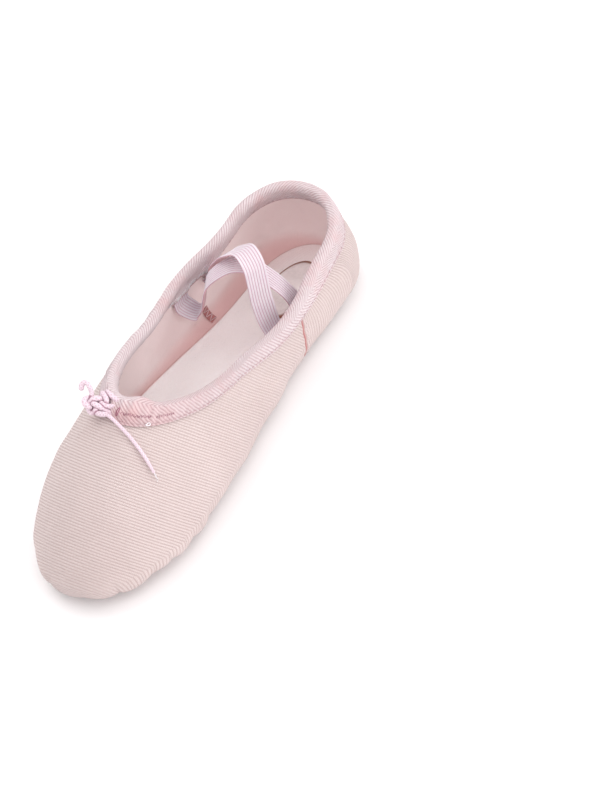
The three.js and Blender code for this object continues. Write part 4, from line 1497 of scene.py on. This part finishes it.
def add_centre_seam(shaded_edge_cloth, thread):
    line, out = arch_line(0, 0.1)
    ridge = joined_object("centre_seam_edge", [flat_strip(line, out, 0.6, 0.4)], shaded_edge_cloth)
    belongs(ridge, None, ["centre_seam_ridge"])
    for name, y in (("left", ROW_FROM_SEAM), ("right", -ROW_FROM_SEAM)):
        places = stitch_places(*arch_line(y, 0.05), CENTRE_SEAM_PITCH)
        row = stitches(f"centre_seam_topstitch_{name}", *places, CENTRE_SEAM_STITCH, thread)
        belongs(row, None, [f"centre_seam_stitch_{name}"])


def add_seam_tab(shaded_edge_cloth, thread):
    """The cross seam's turned edge shows inside the right wall, whipped over with thread."""
    below = np.linspace(33, 44, 30)
    station = station_at(np.full(30, CROSS_SEAM_X - 4.0), -1, lambda s: below)
    points, out = skin_frame(station, below)
    inner = relief(points, below) - LINING_DEPTH - LINING - 0.3
    line = points + out * inner[:, None]
    tab = joined_object("seam_tab", [flat_strip(line, -out, 2.1, 0.3)], shaded_edge_cloth)
    belongs(tab, "heelpart")
    middle, along, at = spaced(line, WHIP_PITCH)
    pick = np.clip((at / at[-1] * 29).astype(int), 0, 29)
    inward = -out[pick]
    across = np.cross(inward, along)
    slant = normalised(across + along * np.where(np.arange(len(along)) % 2, 0.3, -0.3)[:, None])
    whip = stitches("seam_tab_whipstitch", middle + inward * 0.32, slant, inward, WHIPSTITCH, thread)
    belongs(whip, "heelpart")


# ---- The split sole ----
TEARDROP_BULGE = 0.77  # the most that sin(a) sin(a / 2) reaches
STITCH_INSETS = (3, 6.5)


def teardrop(patch, inset, count):
    tip_inset = inset * math.hypot(1, patch["length"] * TEARDROP_BULGE / (2 * patch["half"]))
    length = patch["length"] - inset - tip_inset
    width = (patch["half"] - inset) / TEARDROP_BULGE
    a = full_turn(count)
    x = length * (1 - np.cos(a)) / 2 + tip_inset
    y = width * np.sin(a) * np.abs(np.sin(a / 2))
    return np.stack([patch["tip"] + patch["toward"] * x, patch["middle"] + patch["toward"] * y], 1)


def canvas_underside():
    """The heights of the canvas's lower face."""
    stations, below = ring_grid(130, 900, 0.4)
    points, out = skin_frame(stations, below)
    face = points + out * canvas_height(points, below)[..., None]
    return height_field(face[(out[..., 2] < -0.2) & (points[..., 2] < 9)])


def curl(flat, underside, thickness):
    """How far a flat patch has to bend up at each place to lie on the canvas."""
    return np.clip(height_at(flat, underside) - thickness - OFF_THE_FLOOR, 0, 5)


def add_sole_patch(name, body, underside, leather, thread, dark):
    patch = PATCHES[f"{name}_sole_patch"]
    columns, rings = 320, 70
    outline = teardrop(patch, 0, columns)
    wobble = 0.22 * np.sin(full_turn(columns) * 23)
    centre = np.array([patch["tip"] + patch["toward"] * patch["length"] * 0.6, patch["middle"]])
    scale = 1 - np.linspace(0, 1, rings) ** 0.9
    scale[-1] = 0.01
    grid = centre + (outline[None] - centre) * scale[:, None, None]
    grid = grid + (normalised(centre - outline) * np.abs(wobble)[:, None])[None] * scale[:, None, None]
    flat = grid.reshape(-1, 2)
    from_edge = np.min([np.linalg.norm(flat - p, axis=1) for p in outline], axis=0).reshape(rings, columns)
    rows = [teardrop(patch, inset, 500) for inset in STITCH_INSETS]
    from_row = np.min(
        [np.linalg.norm(flat - p, axis=1) for row in rows for p in row[::2]], axis=0
    ).reshape(rings, columns)
    spot = with_height(grid, np.zeros((rings, columns)))
    thickness = patch["thickness"]
    uneven = 0.1 * (1 + soft_noise(spot, 7)) + 0.05 * (1 + soft_noise(spot, 2.2))
    lift = 0.04 + 0.42 * bell(from_row, 0.75) + uneven
    lift = lift + 0.7 * (1 - ramp(from_edge, 0, 1.1)) ** 2
    top = thickness - 0.12 - 0.35 * (1 - ramp(from_edge, 0, 0.9)) ** 2
    points = np.concatenate([with_height(grid, z).reshape(-1, 3) for z in (lift, top)])
    points[:, 2] += np.tile(curl(flat, underside, thickness), 2)
    faces = plate_faces(rings, columns)
    uv = [points[f][..., :2] for f in faces]
    marks = {
        "edge": 0.8 * np.tile((1 - ramp(from_edge, 0.1, 1.3)).ravel(), 2),
        "hole": np.tile(0.35 * bell(from_row, 0.7).ravel(), 2),
    }
    piece = closed_mesh(f"{name}_suede", points, faces, uv, leather, marks, 60)
    belongs(piece, body, [f"{name}_sole_patch"])
    for row, inset in zip(("outer", "inner"), STITCH_INSETS):
        line = np.concatenate([teardrop(patch, inset, 700), np.full((700, 1), 0.3)], 1)
        line[:, 2] += curl(line[:, :2], underside, thickness)
        middle, along, down = stitch_places(line, downwards(len(line)), LOCK_PITCH, True)
        sewn = stitches(f"{name}_lockstitch_{row}", middle, along, down, LOCKSTITCH, thread)
        belongs(sewn, body, [f"{name}_sole_stitch_{row}"])
        between = (middle + np.roll(middle, -1, 0)) / 2
        way = normalised(np.roll(middle, -1, 0) - middle)
        between[:, 2] += 0.17
        holes = stitches(f"{name}_needle_holes_{row}", between, way, down, NEEDLE_HOLE, dark)
        belongs(holes, body)


# ---- The elastic straps ----
OVER_PATH = [
    (-36.5, 22, 29.5), (-38, 17.7, 36.5), (-39.5, 14.6, 46), (-40, 13.6, 56), (-40.6, 12.3, 66),
    (-43, 7.4, 70), (-46.6, -0.2, 64.5), (-51.1, -9.5, 54), (-54.5, -16.8, 43), (-56.8, -21.2, 33),
]
UNDER_PATH = [
    (-56, 22.3, 30.5), (-54.4, 19, 38), (-52, 13.6, 46.5), (-48.8, 5.6, 54.5), (-46, -1.2, 56),
    (-43.2, -8.2, 52), (-41, -13.6, 46), (-39.9, -16.4, 38), (-39.3, -17.8, 30), (-38, -20.6, 25.4),
]
STRAP_RIBS = 8
STRAP_STEPS = 260
STRAP_TUCK = 8.5  # the length under the tape at each end
SETTLED_LEFT, SETTLED_RIGHT = 15, -15.5  # two places on either side of the strap's crossing


def strap_end(x, side):
    """The last stretch of a strap, from under the tape's inner leg down to where it comes free."""
    depth = INSOLE_DEPTH + STRAP_THICKNESS / 2 + 0.6
    width = BINDING_WIDTH
    stretch = [(6.0, 2.9), (width - 1.5, 3.0), (width + 2.4, depth), (width + 4.6, depth + 0.4)]
    frames = [(wall_frame(x, side, below), inward) for below, inward in stretch]
    return [p[0] - out[0] * inward for (p, out), inward in frames]


def strap_section(path):
    """The ribbed section at each point of a strap: heights of both faces, places across and rib heights."""
    v = np.linspace(-0.5, 0.5, 81)
    rib = np.abs(np.sin(np.pi * (v + 0.5) * STRAP_RIBS)) ** 0.55
    edge = np.sqrt(np.clip(1 - np.abs(2 * v) ** 18, 0.08, 1))
    cup = 0.22 * (2 * v) ** 2
    wavy = 0.12 * np.sin(path[:, 2] / 2.1)[:, None] * np.abs(2 * v) ** 3
    half = STRAP_THICKNESS / 2
    top = cup + wavy + (half - 0.3 * (1 - rib)) * edge
    bottom = cup + wavy - (half - 0.22 * (1 - rib)) * edge
    return top, bottom, v * STRAP_WIDTH, rib


def add_strap(name, start, end, hand_points, material):
    """One elastic, made in two halves that meet at the crossing."""
    first, last = strap_end(*STRAP_ENDS[start]), strap_end(*STRAP_ENDS[end])[::-1]
    count = STRAP_STEPS
    path, length = smooth_path([*first, *hand_points, *last], count)
    free_from, free_to = first[2], last[1]
    span = (free_to - free_from) * (1, 1, 0)
    crosswise = normalised(np.array([-span[1], span[0], 0]))
    u = np.linspace(0, 1, count)
    inside = np.clip((u * length - STRAP_TUCK) / (length - 2 * STRAP_TUCK), 0, 1)
    turn = smooth(np.clip(5 * np.minimum(inside, 1 - inside), 0, 1))[:, None]
    across = lerp(np.array([1.0, 0, 0]), crosswise * np.sign(crosswise[0]), turn)
    tangent = normalised(np.gradient(path, axis=0))
    across = normalised(across - tangent * np.sum(across * tangent, 1, keepdims=True))
    up = np.cross(tangent, across)
    up = up * np.sign(up[count // 2] @ np.array([0, 0, 1.0]))
    top, bottom, width, rib = strap_section(path)
    outer, inner = (
        path[:, None] + across[:, None] * width[None, :, None] + up[:, None] * height[..., None]
        for height in (top, bottom)
    )
    ring = np.concatenate([outer, inner[:, ::-1]], 1)
    m = ring.shape[1]
    place = np.stack(np.broadcast_arrays(u[:, None] * length, np.concatenate([width, width[::-1]])), -1)
    crossing = np.abs(path[:, 1]).argmin()
    halves = (
        ("left", slice(0, crossing + 1), free_from, SETTLED_LEFT),
        ("right", slice(crossing, count), free_to, SETTLED_RIGHT),
    )
    for side, rows, sewn, settled in halves:
        half_rows = rows.stop - rows.start
        k = np.arange(m // 2 - 1)
        cap = np.stack([k, k + 1, m - 2 - k, m - 1 - k], 1)[:, ::-1]
        faces = [quads(half_rows, m), cap, cap[:, ::-1] + (half_rows - 1) * m]
        flat_place = place[rows].reshape(-1, 2)
        # The under mark is the strap's lower face, which gets painted shade.
        marks = {
            "rib": np.tile(np.concatenate([rib, rib[::-1]]), half_rows),
            "under": np.tile(np.repeat([0.0, 1.0], len(rib)), half_rows),
        }
        uv = [flat_place[f] for f in faces]
        strap = closed_mesh(f"{name}_{side}", ring[rows].reshape(-1, 3), faces, uv, material, marks, 70)
        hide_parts(name.replace("ribbon_", "strap_"))
        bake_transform(strap)


# ---- The whole slipper ----
cord_cloth = braided_cord()
canvas = canvas_cloth()
tape_cloth = binding_tape()
add_camera()
add_stage()
white_thread = sewing_thread("thread_white", srgb(252, 248, 250), srgb(238, 230, 236))
add_long_tail(cord_cloth, white_thread)
add_knot(cord_cloth)
add_drawstring(cord_cloth)
add_canvas(canvas)
add_lining(lining_cloth())
add_insole(insole_cloth())
# The heel pad's cloth is the insole's, with a darker tone as painted shade deep inside the heel.
add_heel_pad(insole_cloth("heel_pad_cotton", srgb(140, 96, 80), srgb(208, 196, 195)))
add_binding(tape_cloth)
pale_thread = sewing_thread("thread_pale", srgb(244, 226, 229), srgb(214, 184, 188))
add_binding_stitch(sewing_thread("thread_dusty", srgb(226, 194, 197), srgb(190, 148, 154)))
add_tacks(white_thread)
add_casing_mend(sewing_thread("thread_mauve", srgb(186, 122, 140), srgb(150, 84, 106)), white_thread)
# The seams' deep rose is painted shade, for the shadow in the seam gaps.
seam_edge_shade = sewing_thread("seam_edge_shade_cloth", srgb(202, 142, 140), srgb(178, 112, 112))
add_cross_seam(seam_edge_shade, pale_thread)
add_centre_seam(seam_edge_shade, pale_thread)
add_seam_tab(seam_edge_shade, pale_thread)
cream_thread = sewing_thread("thread_cream", srgb(236, 214, 194), srgb(186, 148, 126))
needle_dark = sewing_thread("needle_hole_shadow", srgb(30, 12, 10), srgb(18, 6, 6))
leather = suede()
underside = canvas_underside()
add_sole_patch("front", "forepart", underside, leather, cream_thread, needle_dark)
add_sole_patch("heel", "heelpart", underside, leather, cream_thread, needle_dark)
elastic = ribbed_elastic()
add_strap("ribbon_over", "left_front", "right_rear", OVER_PATH, elastic)
add_strap("ribbon_under", "left_rear", "right_front", UNDER_PATH, elastic)
